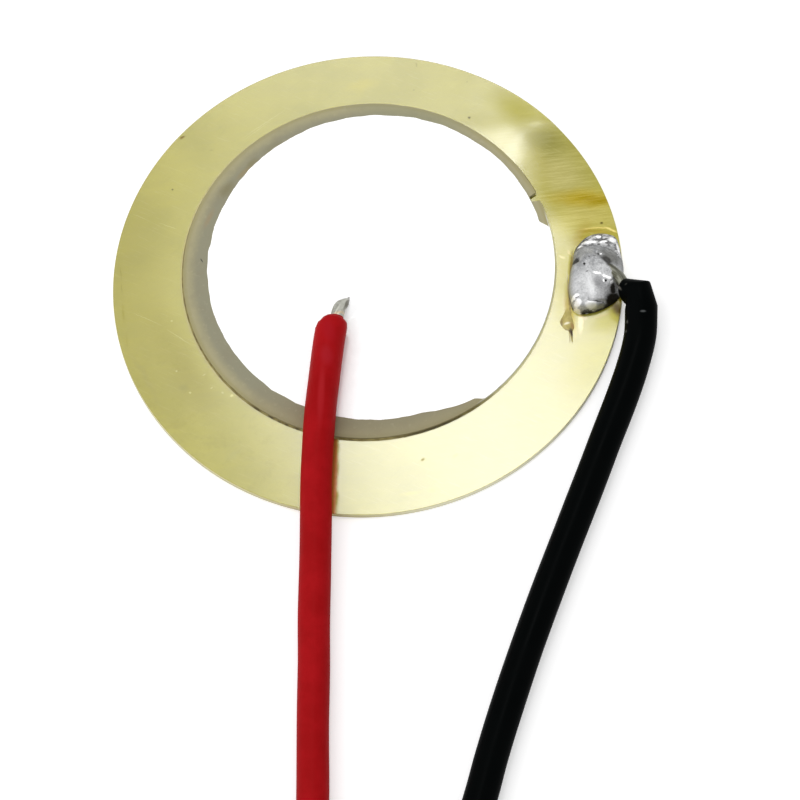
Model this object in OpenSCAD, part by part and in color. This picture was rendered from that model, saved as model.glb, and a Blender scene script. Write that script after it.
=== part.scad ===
// Piezo disc: a brass plate with a silvered piezo ceramic bonded to it and two soldered leads.
// Millimetres. The origin is the centre of the plate's underside, +Z is up, +X points to the side
// where the black lead is soldered, and both leads run off towards -Y.

/* [Brass plate] */
// Diameter of the brass plate
plate_d = 27; // [24:0.5:35]
// Thickness of the brass plate
plate_t = 0.3; // [0.2:0.05:0.5]
// Edge break that blanking leaves round the plate's upper face
plate_edge = 0.04; // [0.01:0.01:0.08]

/* [Piezo ceramic] */
// Diameter of the ceramic
ceramic_d = 19.7; // [15:0.1:21]
// Thickness of the ceramic
ceramic_t = 0.18; // [0.1:0.02:0.4]
// Distance that the ceramic is bonded off the plate's centre along X
ceramic_x = 0.14; // [-0.4:0.02:0.4]
// Distance that the ceramic is bonded off the plate's centre along Y
ceramic_y = 0.58; // [-0.6:0.02:0.6]
// Thickness of the adhesive under the ceramic
adhesive_t = 0.02; // [0.01:0.01:0.05]
// Width of the bead of adhesive squeezed out round the ceramic
bead_w = 0.08; // [0.02:0.02:0.2]
// Height that the bead climbs the ceramic's edge
bead_h = 0.08; // [0.02:0.02:0.12]

/* [Chip in the ceramic] */
// Direction of the chip from the ceramic's centre, in degrees
chip_angle = 17.7; // [8:0.1:90]
// Width of the chip at the ceramic's edge
chip_outer_w = 0.7; // [0.3:0.05:1.5]
// Width of the chip at its inner end
chip_inner_w = 0.34; // [0.1:0.02:1]
// Depth of the chip from the ceramic's edge
chip_depth = 0.43; // [0.1:0.01:0.8]

/* [Silver electrodes] */
// Thickness of each fired silver layer
silver_t = 0.02; // [0.01:0.01:0.05]
// Diameter of the printed upper electrode
silver_d = 17.9; // [14:0.1:19]
// Distance that the print sits off the ceramic's centre
silver_shift = 0.43; // [0:0.01:0.6]
// Direction of that shift, in degrees
silver_shift_angle = 15; // [0:1:359]
// Direction where the print starts to run out to the ceramic's edge, in degrees
overrun_from = -56; // [-90:1:-30]
// Direction where it draws back from the edge again, in degrees
overrun_to = 3; // [-20:1:5]
// Angle over which each end of the overrun tapers, in degrees
overrun_taper = 9; // [1:1:10]

/* [Solder] */
// Direction of the rim joint from the plate's centre, in degrees
joint_angle = -6; // [-15:1:15]
// Length of the rim joint along the rim
joint_l = 4.8; // [3:0.1:6]
// Height of the rim joint above the plate
joint_h = 0.95; // [0.5:0.05:1.5]
// Gap between the rim joint and the ceramic
joint_gap = 0.65; // [0.3:0.05:1]
// Distance that the rim joint stays inside the plate's edge
joint_setback = 0.05; // [0.02:0.01:0.3]
// Height of the lumps on the rim joint
lump_h = 0.08; // [0:0.01:0.15]
// Diameter of the centre joint
dot_d = 1.8; // [1.2:0.1:2.4]
// Height of the centre joint
dot_h = 0.24; // [0.1:0.02:0.5]
// Distance of the centre joint from the middle of the plate along X
dot_x = -1.35; // [-3:0.05:3]
// Distance of the centre joint from the middle of the plate along Y
dot_y = -1.55; // [-3:0.05:3]

/* [Flux residue] */
// Diameter of the drop of flux on the plate
flux_d = 0.8; // [0.4:0.05:1]
// Length of the tail that the drop has drawn out
flux_tail_l = 1.4; // [0.5:0.1:2]
// Width of that tail at its end
flux_tail_w = 0.14; // [0.08:0.02:0.3]
// Height of the drop above the plate
flux_h = 0.1; // [0.04:0.02:0.2]
// How much nearer to the plate's centre the drop lies than the middle of the rim joint
flux_inward = 1.16; // [0:0.02:1.5]
// Gap between the drop and the end of the rim joint
flux_clear = 0.6; // [0.3:0.05:1]

/* [Leads] */
// Diameter of the insulation
lead_d = 1.65; // [1.3:0.05:2]
// Diameter of the tinned conductor
wire_d = 0.68; // [0.4:0.02:0.8]
// Length of bare conductor at each free end
strip_l = 4; // [2:0.5:6]
// Radius of each coil's outer turn, at the middle of the lead
coil_r = 9.8; // [9:0.1:11]
// Distance between the coil's neighbouring turns
coil_pitch = 1.7; // [1.7:0.05:2.1]
// Radius of the last bend, which turns the free end into the coil's middle
tail_r = 4.2; // [3.8:0.1:4.6]
// Angle of that last bend, in degrees
tail_angle = 110; // [100:5:130]
// Straight length of lead that runs into each coil
run_in = 6.5; // [6:0.5:8]
// Room left round the lead where it lies
lie_gap = 0.02; // [0.01:0.01:0.05]

/* [Hidden] */
$fn = 96;

plate_r = plate_d / 2;
ceramic_r = ceramic_d / 2;
silver_r = silver_d / 2;
lead_r = lead_d / 2;
wire_r = wire_d / 2;

// The stack, from the plate's upper face to the top of the upper electrode
lower_silver_z = plate_t + adhesive_t;
ceramic_z = lower_silver_z + silver_t;
upper_silver_z = ceramic_z + ceramic_t;
stack_top_z = upper_silver_z + silver_t;

// The routes of the leads: X, Y and the height of the insulation's underside above the surface.
// Each starts at the soldered end and stops where the straight run into its coil begins. The black
// lead is kinked beside the plate's rim and keeps to it there.
red_route = [
    [-2.0, -2.55, 0.65], [-2.4, -4.05, 0.6], [-2.8, -5.85, 0.58], [-3.2, -7.75, 0.58],
    [-3.5, -9.5, 0.55], [-3.8, -11.5, 0.46], [-4.05, -13.7, 0.3], [-4.35, -16.2, 0.12],
    [-4.7, -19.0, 0.03], [-4.95, -21.5, 0.02], [-5.3, -24.5, 0.02], [-5.6, -27.5, 0.02],
    [-5.9, -30.5, 0.02]
];
black_route = [
    [plate_r - 0.17, -2.86, plate_t - 0.1], [plate_r + 0.43, -3.27, plate_t + 0.25],
    [plate_r + 0.53, -4.0, plate_t + 0.1], [13.76, -5.5, 0.12], [13.12, -7.2, 0.05],
    [12.3, -8.95, 0.02], [11.3, -10.9, 0.02], [10.3, -12.9, 0.02], [9.2, -15.05, 0.02],
    [8.0, -17.4, 0.02], [6.8, -19.8, 0.02], [5.6, -22.3, 0.02], [4.4, -24.95, 0.02],
    [3.4, -27.3, 0.02], [2.5, -29.6, 0.02]
];

// Each coil: its centre, the direction from there to the point where the lead joins the outer
// turn, and which way the turns go round, 1 anticlockwise and -1 clockwise
red_coil = [[-15.8, -41], 0, -1];
black_coil = [[7.2, -43.5], 157, 1];

// Lead-in that the tube and the run into the coil share, so that their ends meet squarely
square_l = 1;

tube_sides = 8;
wire_sides = 12;

function unit(v) = v / norm(v);
function polar(r, a) = [r * cos(a), r * sin(a)];
function turned(p, a) = [p[0] * cos(a) - p[1] * sin(a), p[0] * sin(a) + p[1] * cos(a)];

// A point on the straight run into a coil, a distance short of where the turns begin
function run_in_point(coil, short) =
    let (p = coil[0] + turned([coil_r, -coil[2] * short], coil[1]))
    [p[0], p[1], lie_gap];

// Centreline of a lead, from its soldered end to the run into its coil
function centreline(route, coil) =
    let (points = concat(route, [run_in_point(coil, run_in + square_l), run_in_point(coil, run_in)]))
    [for (p = points) p + [0, 0, lead_r]];

red_line = centreline(red_route, red_coil);
black_line = centreline(black_route, black_coil);

// Direction of a centreline as it comes into point i and as it leaves it
function into(line, i) = unit(line[max(i, 1)] - line[max(i, 1) - 1]);
function away(line, i) = unit(line[min(i, len(line) - 2) + 1] - line[min(i, len(line) - 2)]);

// Ring of points round a centreline at point i. It lies in the plane that halves the bend and is
// stretched across the bend, so that the tube keeps its thickness round a corner.
function ring(line, i, r, sides) =
    let (
        t = unit(into(line, i) + away(line, i)),
        side = unit(cross([0, 0, 1], t)),
        up = cross(t, side),
        bend = away(line, i) - into(line, i),
        across = norm(bend) < 0.001 ? side : unit(bend),
        stretch = 1 / (t * into(line, i)) - 1
    )
    [for (k = [0 : sides - 1])
        let (
            a = 360 * (k + 0.5) / sides,
            v = r * (cos(a) * side + sin(a) * up)
        )
        line[i] + v + stretch * (v * across) * across];

// Tube along a centreline, with its own radius at each point
module tube(line, radii, sides) {
    count = len(line);
    points = [for (i = [0 : count - 1]) each ring(line, i, radii[i], sides)];
    walls = [for (i = [0 : count - 2], k = [0 : sides - 1])
        let (n = (k + 1) % sides)
        [i * sides + n, i * sides + k, (i + 1) * sides + k, (i + 1) * sides + n]];
    start_cap = [for (k = [0 : sides - 1]) k];
    end_cap = [for (k = [sides - 1 : -1 : 0]) (count - 1) * sides + k];
    polyhedron(points, concat([start_cap], walls, [end_cap]), convexity = 6);
}

// The insulation's flat sides touch its round, so that the round lies wholly inside the tube
module lead_tube(line) {
    tube(line, [for (p = line) lead_r / cos(180 / tube_sides)], tube_sides);
}

// Distance from the plate's centre to the ceramic's edge in one direction
function ceramic_reach(a) =
    let (
        u = polar(1, a),
        along = ceramic_x * u[0] + ceramic_y * u[1],
        off = ceramic_x * u[1] - ceramic_y * u[0]
    )
    along + sqrt(ceramic_r * ceramic_r - off * off);

// Rim joint: it fills the brass between the ceramic and the plate's edge
joint_inner = ceramic_reach(joint_angle) + joint_gap;
joint_outer = plate_r - joint_setback;
joint_w = joint_outer - joint_inner;
joint_mid = (joint_inner + joint_outer) / 2;
joint_rings = 7;
joint_steps = 36;
// Squareness of the joint's outline, its lean along the rim and how full its dome is
joint_power = 2.6;
joint_lean = 0.14;
dome_power = 3;

function joint_outline(a) =
    1 / pow(pow(abs(cos(a)) * 2 / joint_w, joint_power)
          + pow(abs(sin(a)) * 2 / joint_l, joint_power), 1 / joint_power);

// Point on the joint's surface, at share s of the way from its crown to its outline
function joint_point(s, a) =
    let (
        flat = s * polar(joint_outline(a), a),
        leaned = [flat[0] + joint_lean * flat[1] + joint_mid, flat[1]],
        placed = turned(leaned, joint_angle),
        kept = placed * min(1, joint_outer / norm(placed)),
        dome = joint_h * pow(1 - pow(s, dome_power), 0.5),
        lumps = lump_h * sin(180 * s) * (sin(3 * a + 40) + sin(5 * a))
    )
    [kept[0], kept[1], plate_t + dome + lumps];

// Bare conductors: each leaves its insulation squarely. The red one bends down into its joint, and
// the black one lies half sunk along the surface of its own.
function square_start(line) = line[0] - into(line, 0) * wire_r * 0.75;

red_wire_line = [
    red_line[0],
    square_start(red_line),
    [dot_x - 0.15, dot_y - 0.2, stack_top_z + dot_h + wire_r / 2],
    [dot_x + 0.3, dot_y + 0.35, stack_top_z + dot_h]
];
red_wire_radii = wire_r * [1, 1, 1.05, 0.15];

black_wire_line = [
    black_line[0],
    square_start(black_line),
    joint_point(0.76, -17) + [0, 0, wire_r * 0.3],
    joint_point(0.28, 48) + [0, 0, wire_r * 0.1]
];
black_wire_radii = wire_r * [1, 1, 1, 0.4];

// Flux drop: its direction and distance from the plate's centre
flux_turn = joint_angle - (joint_l / 2 + flux_clear + flux_d / 2) / joint_mid * 180 / PI;
flux_mid = joint_mid - flux_inward;

module at_ceramic(z) {
    translate([ceramic_x, ceramic_y, z]) children();
}

// The chip goes through the ceramic, its silver and the adhesive under it, down to the brass
module chip() {
    overshoot = 0.5;
    flare = (chip_outer_w - chip_inner_w) / 2 * overshoot / chip_depth;
    outer = chip_outer_w / 2 + flare;
    inner = chip_inner_w / 2;
    at_ceramic(plate_t)
        rotate(chip_angle)
            linear_extrude(stack_top_z - plate_t + overshoot)
                polygon([
                    [ceramic_r - chip_depth, -inner], [ceramic_r + overshoot, -outer],
                    [ceramic_r + overshoot, outer], [ceramic_r - chip_depth, inner]
                ]);
}

module brass_plate() {
    color("#c8b96a")
        rotate_extrude()
            polygon([
                [0, 0], [plate_r, 0], [plate_r, plate_t - plate_edge],
                [plate_r - plate_edge, plate_t], [0, plate_t]
            ]);
}

module adhesive() {
    climb = min(bead_h, silver_t + ceramic_t);
    color("#6f6238")
        difference() {
            at_ceramic(plate_t)
                rotate_extrude()
                    polygon([
                        [0, 0], [ceramic_r + bead_w, 0], [ceramic_r, adhesive_t + climb],
                        [ceramic_r, adhesive_t], [0, adhesive_t]
                    ]);
            chip();
        }
}

module lower_electrode() {
    color("#c9c9c6")
        difference() {
            at_ceramic(lower_silver_z) cylinder(r = ceramic_r, h = silver_t);
            chip();
        }
}

module ceramic_disc() {
    color("#9d967c")
        difference() {
            at_ceramic(ceramic_z) cylinder(r = ceramic_r, h = ceramic_t);
            chip();
        }
}

// The print is a disc, a little off centre, that runs out to the ceramic's edge on one side
module silver_print() {
    reach = ceramic_r * 1.03;
    steps = 8;
    translate(polar(silver_shift, silver_shift_angle)) circle(r = silver_r);
    polygon(concat(
        [[0, 0], polar(silver_r, overrun_from - overrun_taper)],
        [for (k = [0 : steps]) polar(reach, overrun_from + (overrun_to - overrun_from) * k / steps)],
        [polar(silver_r, overrun_to + overrun_taper)]
    ));
}

module upper_electrode() {
    color("#f4f4f2")
        difference() {
            at_ceramic(upper_silver_z)
                linear_extrude(silver_t)
                    intersection() {
                        circle(r = ceramic_r);
                        silver_print();
                    }
            chip();
        }
}

module rim_solder_joint() {
    points = concat(
        [joint_point(0, 0)],
        [for (k = [1 : joint_rings], j = [0 : joint_steps - 1])
            joint_point(k / joint_rings, 360 * j / joint_steps)]
    );
    crown = [for (j = [0 : joint_steps - 1]) [0, 1 + (j + 1) % joint_steps, 1 + j]];
    slopes = [for (k = [0 : joint_rings - 2], j = [0 : joint_steps - 1])
        let (a = 1 + k * joint_steps, n = (j + 1) % joint_steps)
        each [
            [a + j, a + n, a + joint_steps + n],
            [a + j, a + joint_steps + n, a + joint_steps + j]
        ]];
    foot = [for (j = [0 : joint_steps - 1]) 1 + (joint_rings - 1) * joint_steps + j];
    color("#a9acaf")
        difference() {
            polyhedron(points, concat(crown, slopes, [foot]), convexity = 4);
            tube(black_wire_line, black_wire_radii, wire_sides);
            lead_tube(black_line);
        }
}

// A drop with a thin tail that points away from the rim joint
module flux_residue() {
    tail_end = -flux_d / 2 - flux_tail_l;
    color("#c9a94c")
        rotate(flux_turn)
            translate([flux_mid, 0, plate_t])
                linear_extrude(flux_h) {
                    circle(d = flux_d);
                    translate([0, tail_end]) circle(d = flux_tail_w);
                    polygon([
                        [-flux_d * 0.3, 0], [-flux_tail_w / 2, tail_end],
                        [flux_tail_w / 2, tail_end], [flux_d * 0.3, 0]
                    ]);
                }
}

module centre_solder_joint() {
    cap_r = (dot_d * dot_d / 4 + dot_h * dot_h) / (2 * dot_h);
    color("#d9dadb")
        difference() {
            intersection() {
                translate([dot_x, dot_y, stack_top_z + dot_h - cap_r]) sphere(r = cap_r);
                translate([dot_x, dot_y, stack_top_z]) cylinder(d = dot_d, h = dot_h);
            }
            tube(red_wire_line, red_wire_radii, wire_sides);
        }
}

module red_conductor() {
    color("#b9bab2") tube(red_wire_line, red_wire_radii, wire_sides);
}

module black_conductor() {
    color("#a7a79c") tube(black_wire_line, black_wire_radii, wire_sides);
}

module red_lead() {
    color("#a80f16") lead_tube(red_line);
}

module black_lead() {
    color("#141414") lead_tube(black_line);
}

// Centre of the last bend, in the coil's own frame
tail_x = coil_r - coil_pitch - tail_r;

// Puts a shape drawn for an anticlockwise coil, with its lead joining on +X, into place
module in_coil(coil) {
    translate([coil[0][0], coil[0][1], 0])
        rotate(coil[1])
            mirror([0, coil[2] < 0 ? 1 : 0, 0])
                children();
}

// Outer shape of a coiled lead: the run into it, its turns and the last bend inside them
module coil_body(coil) {
    inner_r = coil_r - coil_pitch - lead_r - lie_gap;
    outer_r = coil_r + lead_r + lie_gap;
    in_coil(coil) {
        rotate_extrude()
            translate([inner_r, 0])
                square([outer_r - inner_r, lead_d + 2 * lie_gap]);
        translate([coil_r, 0, lead_r + lie_gap])
            rotate([90, 0, 0])
                cylinder(r = lead_r, h = run_in);
        translate([tail_x, 0, lead_r + lie_gap])
            rotate_extrude(angle = tail_angle)
                translate([tail_r, 0])
                    circle(r = lead_r);
    }
}

// Bare conductor that sticks out of the lead's free end
module stripped_end(coil) {
    tail_end = polar(tail_r, tail_angle);
    in_coil(coil)
        translate([tail_x + tail_end[0], tail_end[1], lead_r + lie_gap])
            rotate([-90, 0, tail_angle])
                cylinder(r = wire_r, h = strip_l);
}

module red_lead_coil() {
    color("#a80f16") coil_body(red_coil);
}

module black_lead_coil() {
    color("#141414") coil_body(black_coil);
}

module red_stripped_end() {
    color("#b9bab2") stripped_end(red_coil);
}

module black_stripped_end() {
    color("#b9bab2") stripped_end(black_coil);
}

brass_plate();
adhesive();
lower_electrode();
ceramic_disc();
upper_electrode();
rim_solder_joint();
flux_residue();
centre_solder_joint();
red_conductor();
red_lead();
red_lead_coil();
red_stripped_end();
black_conductor();
black_lead();
black_lead_coil();
black_stripped_end();
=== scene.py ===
# %% [markdown]
# # A piezo disc
#
# A piezo disc is a thin round brass plate with a smaller disc of piezo ceramic bonded on top of
# it. The ceramic is silvered, and two leads are soldered on: the red one in the middle of the
# silver, the black one at the rim of the brass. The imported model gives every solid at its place,
# in metres. This lesson keeps that frame, and gives each piece the shape and finish of the real
# one.

import math

import bpy
import numpy as np
from mathutils import Matrix, Vector, noise


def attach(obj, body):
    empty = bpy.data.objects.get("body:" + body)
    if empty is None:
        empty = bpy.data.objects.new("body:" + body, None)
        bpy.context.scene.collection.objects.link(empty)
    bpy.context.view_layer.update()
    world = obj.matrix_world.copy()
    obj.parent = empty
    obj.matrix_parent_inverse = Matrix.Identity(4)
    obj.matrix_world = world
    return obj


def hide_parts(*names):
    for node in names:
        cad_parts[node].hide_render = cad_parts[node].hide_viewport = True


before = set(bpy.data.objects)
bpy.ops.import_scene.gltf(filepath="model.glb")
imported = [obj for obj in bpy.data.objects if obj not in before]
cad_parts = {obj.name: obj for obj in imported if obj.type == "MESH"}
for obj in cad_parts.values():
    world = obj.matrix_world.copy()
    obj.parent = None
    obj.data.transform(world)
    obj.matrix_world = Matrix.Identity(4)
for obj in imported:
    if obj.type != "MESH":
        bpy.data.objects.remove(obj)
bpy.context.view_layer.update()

MM = 0.001

print("nodes:", ", ".join(sorted(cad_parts)))

# %% [markdown]
# ## The camera
#
# The camera comes first, because the leads are put away just outside what it sees. It stands
# well above the plate with a long lens, so that the plate is nearly a true ellipse, and it is
# rolled a little.

# %% The camera
LOOK_AT = Vector((0.955, -7.044, 0)) * MM
ELEVATION = math.radians(65.5)
ROLL = math.radians(-6.84)
DISTANCE = 200 * MM
LENS, SENSOR = 172.6, 36

forward = Vector((0, math.cos(ELEVATION), -math.sin(ELEVATION)))
level_right = Vector((1, 0, 0))
level_up = level_right.cross(forward)
right = math.cos(ROLL) * level_right + math.sin(ROLL) * level_up
up = math.cos(ROLL) * level_up - math.sin(ROLL) * level_right

bpy.ops.object.camera_add()
camera = bpy.context.object
camera.data.lens = LENS
camera.data.sensor_width = SENSOR
camera.data.clip_start = 10 * MM
camera.matrix_world = (
    Matrix.Translation(LOOK_AT - DISTANCE * forward)
    @ Matrix((right, up, -forward)).transposed().to_4x4()
)
bpy.context.scene.camera = camera
print("camera at", tuple(round(c / MM, 1) for c in camera.matrix_world.translation), "mm")

# %% [markdown]
# ## The routes of the leads
#
# A lead is a fixed length of something limp. Each one runs off from its joint, comes down over
# the edge of the plate to the surface and goes straight on. What is left of it is put away in a
# coil of one turn, and its free end turns into the middle of the coil. The chosen points are
# joined by a Catmull-Rom curve, because that goes through every point, and the coil's points
# come from a loop.

# %% The routes of the leads
# In millimetres: the insulation and the wire in it, how high a lead lies over the surface, the
# coil, the bend inside it, the straight run into it, and the bare wire at the free end
LEAD_R = 0.825
WIRE_R = 0.34
LIE = 0.02
COIL_R, COIL_PITCH = 9.8, 1.7
TAIL_R, TAIL_ANGLE = 4.2, math.radians(110)
RUN_IN, SQUARE = 6.5, 1.0
STRIP = 4.0
RUN_STEPS, TURN_STEPS, TAIL_STEPS = 8, 90, 30

# X, Y and the height of the insulation's underside, in millimetres
RED_ROUTE = [
    (-2.0, -2.55, 0.65), (-2.4, -4.05, 0.6), (-2.8, -5.85, 0.58), (-3.2, -7.75, 0.58),
    (-3.5, -9.5, 0.55), (-3.8, -11.5, 0.46), (-4.05, -13.7, 0.3), (-4.35, -16.2, 0.12),
    (-4.7, -19.0, 0.03), (-4.95, -21.5, 0.02), (-5.3, -24.5, 0.02), (-5.6, -27.5, 0.02),
    (-5.9, -30.5, 0.02),
]
BLACK_ROUTE = [
    (14.03, -4.0, 0.4), (13.76, -5.5, 0.12), (13.12, -7.2, 0.05), (12.3, -8.95, 0.02),
    (11.3, -10.9, 0.02), (10.3, -12.9, 0.02), (9.2, -15.05, 0.02), (8.0, -17.4, 0.02),
    (6.8, -19.8, 0.02), (5.6, -22.3, 0.02), (4.4, -24.95, 0.02), (3.4, -27.3, 0.02),
    (2.5, -29.6, 0.02),
]
# The black lead's soldered end is kinked sharply, and leans down over the rim to its joint
BLACK_KINK = [(13.33, -2.86, 0.18), (13.64, -3.06, 0.36), (13.93, -3.27, 0.54)]

# Each coil: its centre, the direction of the place where the lead joins it, and its turning,
# 1 anticlockwise and -1 clockwise
RED_COIL = ((-15.8, -41.0), 0.0, -1)
BLACK_COIL = ((7.2, -43.5), math.radians(157), 1)


def smooth_curve(points, steps):
    """Points of a Catmull-Rom curve through the given ones, with some steps between each two."""
    p = np.array(points, float)
    p = np.vstack([2 * p[0] - p[1], p, 2 * p[-1] - p[-2]])
    curve = []
    for a, b, c, d in zip(p, p[1:], p[2:], p[3:]):
        for t in np.arange(steps) / steps:
            curve.append(0.5 * (2 * b + (c - a) * t + (2 * a - 5 * b + 4 * c - d) * t ** 2
                                + (3 * b - a - 3 * c + d) * t ** 3))
    curve.append(p[-2])
    return np.array(curve)


def in_coil(coil, points):
    """Points drawn for an anticlockwise coil that the lead joins on +X, put into their place."""
    centre, angle, turning = coil
    p = np.array(points, float) * (1, turning)
    c, s = math.cos(angle), math.sin(angle)
    return p @ np.array([[c, s], [-s, c]]) + centre


def coil_points(coil):
    """The run into a coil, its turn, which draws in by one pitch, and the last bend inside it."""
    points = [(COIL_R, -RUN_IN * k / RUN_STEPS) for k in range(RUN_STEPS, 0, -1)]
    for k in range(TURN_STEPS):
        u = k / TURN_STEPS
        r = COIL_R - COIL_PITCH * u * u * (3 - 2 * u)
        points.append((r * math.cos(math.tau * u), r * math.sin(math.tau * u)))
    tail_x = COIL_R - COIL_PITCH - TAIL_R
    for k in range(TAIL_STEPS + 1):
        a = TAIL_ANGLE * k / TAIL_STEPS
        points.append((tail_x + TAIL_R * math.cos(a), TAIL_R * math.sin(a)))
    return in_coil(coil, points)


def lead_path(start, route, coil):
    """Centreline of a whole lead in millimetres, from its soldered end to its free one."""
    square = in_coil(coil, [(COIL_R, -RUN_IN - SQUARE)])[0]
    curve = smooth_curve([*route, (*square, LIE)], 6)
    turns = coil_points(coil)
    turns = np.column_stack([turns, np.full(len(turns), LIE)])
    path = np.vstack([np.array(start, float).reshape(-1, 3), curve, turns])
    return path + (0, 0, LEAD_R)


red_path = lead_path([], RED_ROUTE, RED_COIL)
black_path = lead_path(BLACK_KINK, BLACK_ROUTE, BLACK_COIL)


def path_length(path):
    return float(np.linalg.norm(np.diff(path, axis=0), axis=1).sum())


print("red lead", round(path_length(red_path), 1), "mm, black lead",
      round(path_length(black_path), 1), "mm of insulation")

# %% [markdown]
# ## Tubes along a path
#
# A curve with a round bevel would do for most of a lead, but it can't have a cut end, a kink or
# a fused twist of strands. So a tube is made ring by ring. Each ring lies in the plane that
# halves the bend, and is stretched across it, so that the tube keeps its thickness at a kink.
# Its UV map counts millimetres along the tube and turns round it, for patterns that follow it.

# %% A tube made of rings
# A slanting cut is felt this far along a tube, in millimetres
CUT_FADE = 0.7


def new_object(name, points, faces):
    """A mesh object with points in millimetres."""
    mesh = bpy.data.meshes.new(name)
    mesh.from_pydata((np.asarray(points) * MM).tolist(), [], faces)
    thing = bpy.data.objects.new(name, mesh)
    bpy.context.scene.collection.objects.link(thing)
    return thing


def directions(path):
    """Unit direction into and out of each point of a path."""
    steps = np.diff(path, axis=0)
    steps /= np.linalg.norm(steps, axis=1)[:, None]
    return np.vstack([steps[:1], steps]), np.vstack([steps, steps[-1:]])


def tube(name, path, radius, sides, cut_back=None):
    """A closed tube. radius(distance, turn) gives its radius for arrays of both, in millimetres
    and radians; turn 0 is on the tube's right and a quarter turn is on top. cut_back(turn) is how
    far a slanting cut takes off its start."""
    into, away = directions(path)
    along = into + away
    along /= np.linalg.norm(along, axis=1)[:, None]
    side = np.cross([0, 0, 1.0], along)
    side /= -np.linalg.norm(side, axis=1)[:, None]
    top = np.cross(side, along)
    bend = away - into
    size = np.linalg.norm(bend, axis=1)
    across = np.where(size[:, None] > 1e-4, bend / np.maximum(size, 1e-9)[:, None], side)
    stretch = 1 / (along * into).sum(1) - 1
    distance = np.concatenate([[0], np.cumsum(np.linalg.norm(np.diff(path, axis=0), axis=1))])
    turn = math.tau * np.arange(sides) / sides
    r = radius(distance[:, None], turn[None, :])
    rings = (r * np.cos(turn))[..., None] * side[:, None]
    rings = rings + (r * np.sin(turn))[..., None] * top[:, None]
    rings += (stretch[:, None] * (rings * across[:, None]).sum(2))[..., None] * across[:, None]
    if cut_back:
        fade = (1 - distance / CUT_FADE).clip(0)
        rings += (fade[:, None] * cut_back(turn))[..., None] * away[0]
    points = (path[:, None] + rings).reshape(-1, 3)
    count = len(path)
    walls = []
    for i in range(count - 1):
        for k in range(sides):
            n = (k + 1) % sides
            walls.append((i * sides + k, i * sides + n, (i + 1) * sides + n, (i + 1) * sides + k))
    ends = [tuple(reversed(range(sides))), tuple(range((count - 1) * sides, count * sides))]
    thing = new_object(name, points, walls + ends)
    uv = thing.data.uv_layers.new(name="along").data
    for face in thing.data.polygons:
        corners = [divmod(thing.data.loops[c].vertex_index, sides) for c in face.loop_indices]
        wraps = max(k for _, k in corners) - min(k for _, k in corners) > sides / 2
        for c, (i, k) in zip(face.loop_indices, corners):
            uv[c].uv = (distance[i], (k + sides * (wraps and k == 0)) / sides)
    shade_smooth(thing, 50)
    return thing


def select_only(thing):
    bpy.ops.object.select_all(action="DESELECT")
    thing.select_set(True)
    bpy.context.view_layer.objects.active = thing


def shade_smooth(thing, angle):
    """Smooth shading, with edges sharper than an angle in degrees kept."""
    select_only(thing)
    bpy.ops.object.shade_smooth_by_angle(angle=math.radians(angle))


def ease(edge_a, edge_b, x):
    """0 before edge_a and 1 after edge_b, with a smooth change between, for numbers and arrays."""
    t = np.clip((np.asarray(x, float) - edge_a) / (edge_b - edge_a), 0, 1)
    return t * t * (3 - 2 * t)


def count_triangles(thing):
    thing.data.calc_loop_triangles()
    return len(thing.data.loop_triangles)


# %% [markdown]
# ## The insulated leads
#
# The insulation is soft PVC, cut and pulled back from the joint, so its end is a little crushed
# and rounded.

# %% The insulation
def insulation(name, path, soldered_end, waves, cut_back=None):
    """A lead's insulation. soldered_end(distance, turn) scales its radius near the joint."""
    length = path_length(path)

    def radius(distance, turn):
        wavy = 1 + 0.008 * np.sin(distance * waves) * np.cos(2 * turn + distance * 0.4)
        free = np.sqrt(np.clip(1 - ((distance - length + 0.12) / 0.14).clip(0) ** 2, 0.2, 1))
        return LEAD_R * wavy * soldered_end(distance, turn) * free

    return tube(name, path, radius, 32, cut_back)


def denser_end(path, distances):
    """The same path with extra points at some distances from its start, on its first step."""
    first, second = path[0], path[1]
    direction = (second - first) / np.linalg.norm(second - first)
    return np.vstack([first, first + direction * np.array(distances)[:, None], path[1:]])


def red_end(distance, turn):
    """Rounded over, blunter on its left, and cut further back on its right."""
    back = distance - 0.36 * np.clip(np.cos(turn + 0.2), 0, 1) ** 1.8
    blunt = 0.12 + 0.4 * np.clip(-np.cos(turn + 0.64), 0, 1)
    return np.sqrt(np.clip(1 - ((0.42 - back) / 0.5).clip(0, 1) ** 2, blunt, 1))


def black_end(distance, turn):
    """Crushed flat where it is kinked, with a knuckle outside the kink and a rounded lip."""
    lip = np.sqrt(np.clip(1 - ((0.08 - distance) / 0.1).clip(0, 1) ** 2, 0.3, 1))
    crushed = 1 - ease(0.6, 1.5, distance)
    oval = 1 / np.hypot(np.cos(turn) / (1.03 - 0.22 * crushed), np.sin(turn) / (1 + 0.03 * crushed))
    knuckle = 0.16 * np.exp(-((distance - 0.73) / 0.22) ** 2) * (-np.cos(turn + 0.15)).clip(0) ** 3
    return lip * oval + knuckle


def black_cut(turn):
    """Cut slanting, so that more is gone on the left, with the right corner off too."""
    return (0.45 * np.clip(-np.cos(turn - 0.5), 0, 1) ** 1.5
            + 0.25 * np.clip(np.cos(turn + 0.3), 0, 1) ** 2)


END_POINTS = [0.03, 0.06, 0.1, 0.15, 0.21]
red_insulation = insulation(
    "red_insulation", denser_end(red_path, END_POINTS), red_end, 0.9)
black_insulation = insulation(
    "black_insulation", denser_end(black_path, [0.02, 0.05, 0.1, 0.2]), black_end, 0.7, black_cut)
print("insulation:", count_triangles(red_insulation), "and",
      count_triangles(black_insulation), "triangles")

# %% [markdown]
# ## Bare wire
#
# The conductor is a twist of thin strands that has been dipped in solder. The solder fills the
# grooves, so the twist is one tube whose section has a shallow lobe for each strand, and the
# lobes turn as they go along.

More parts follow.
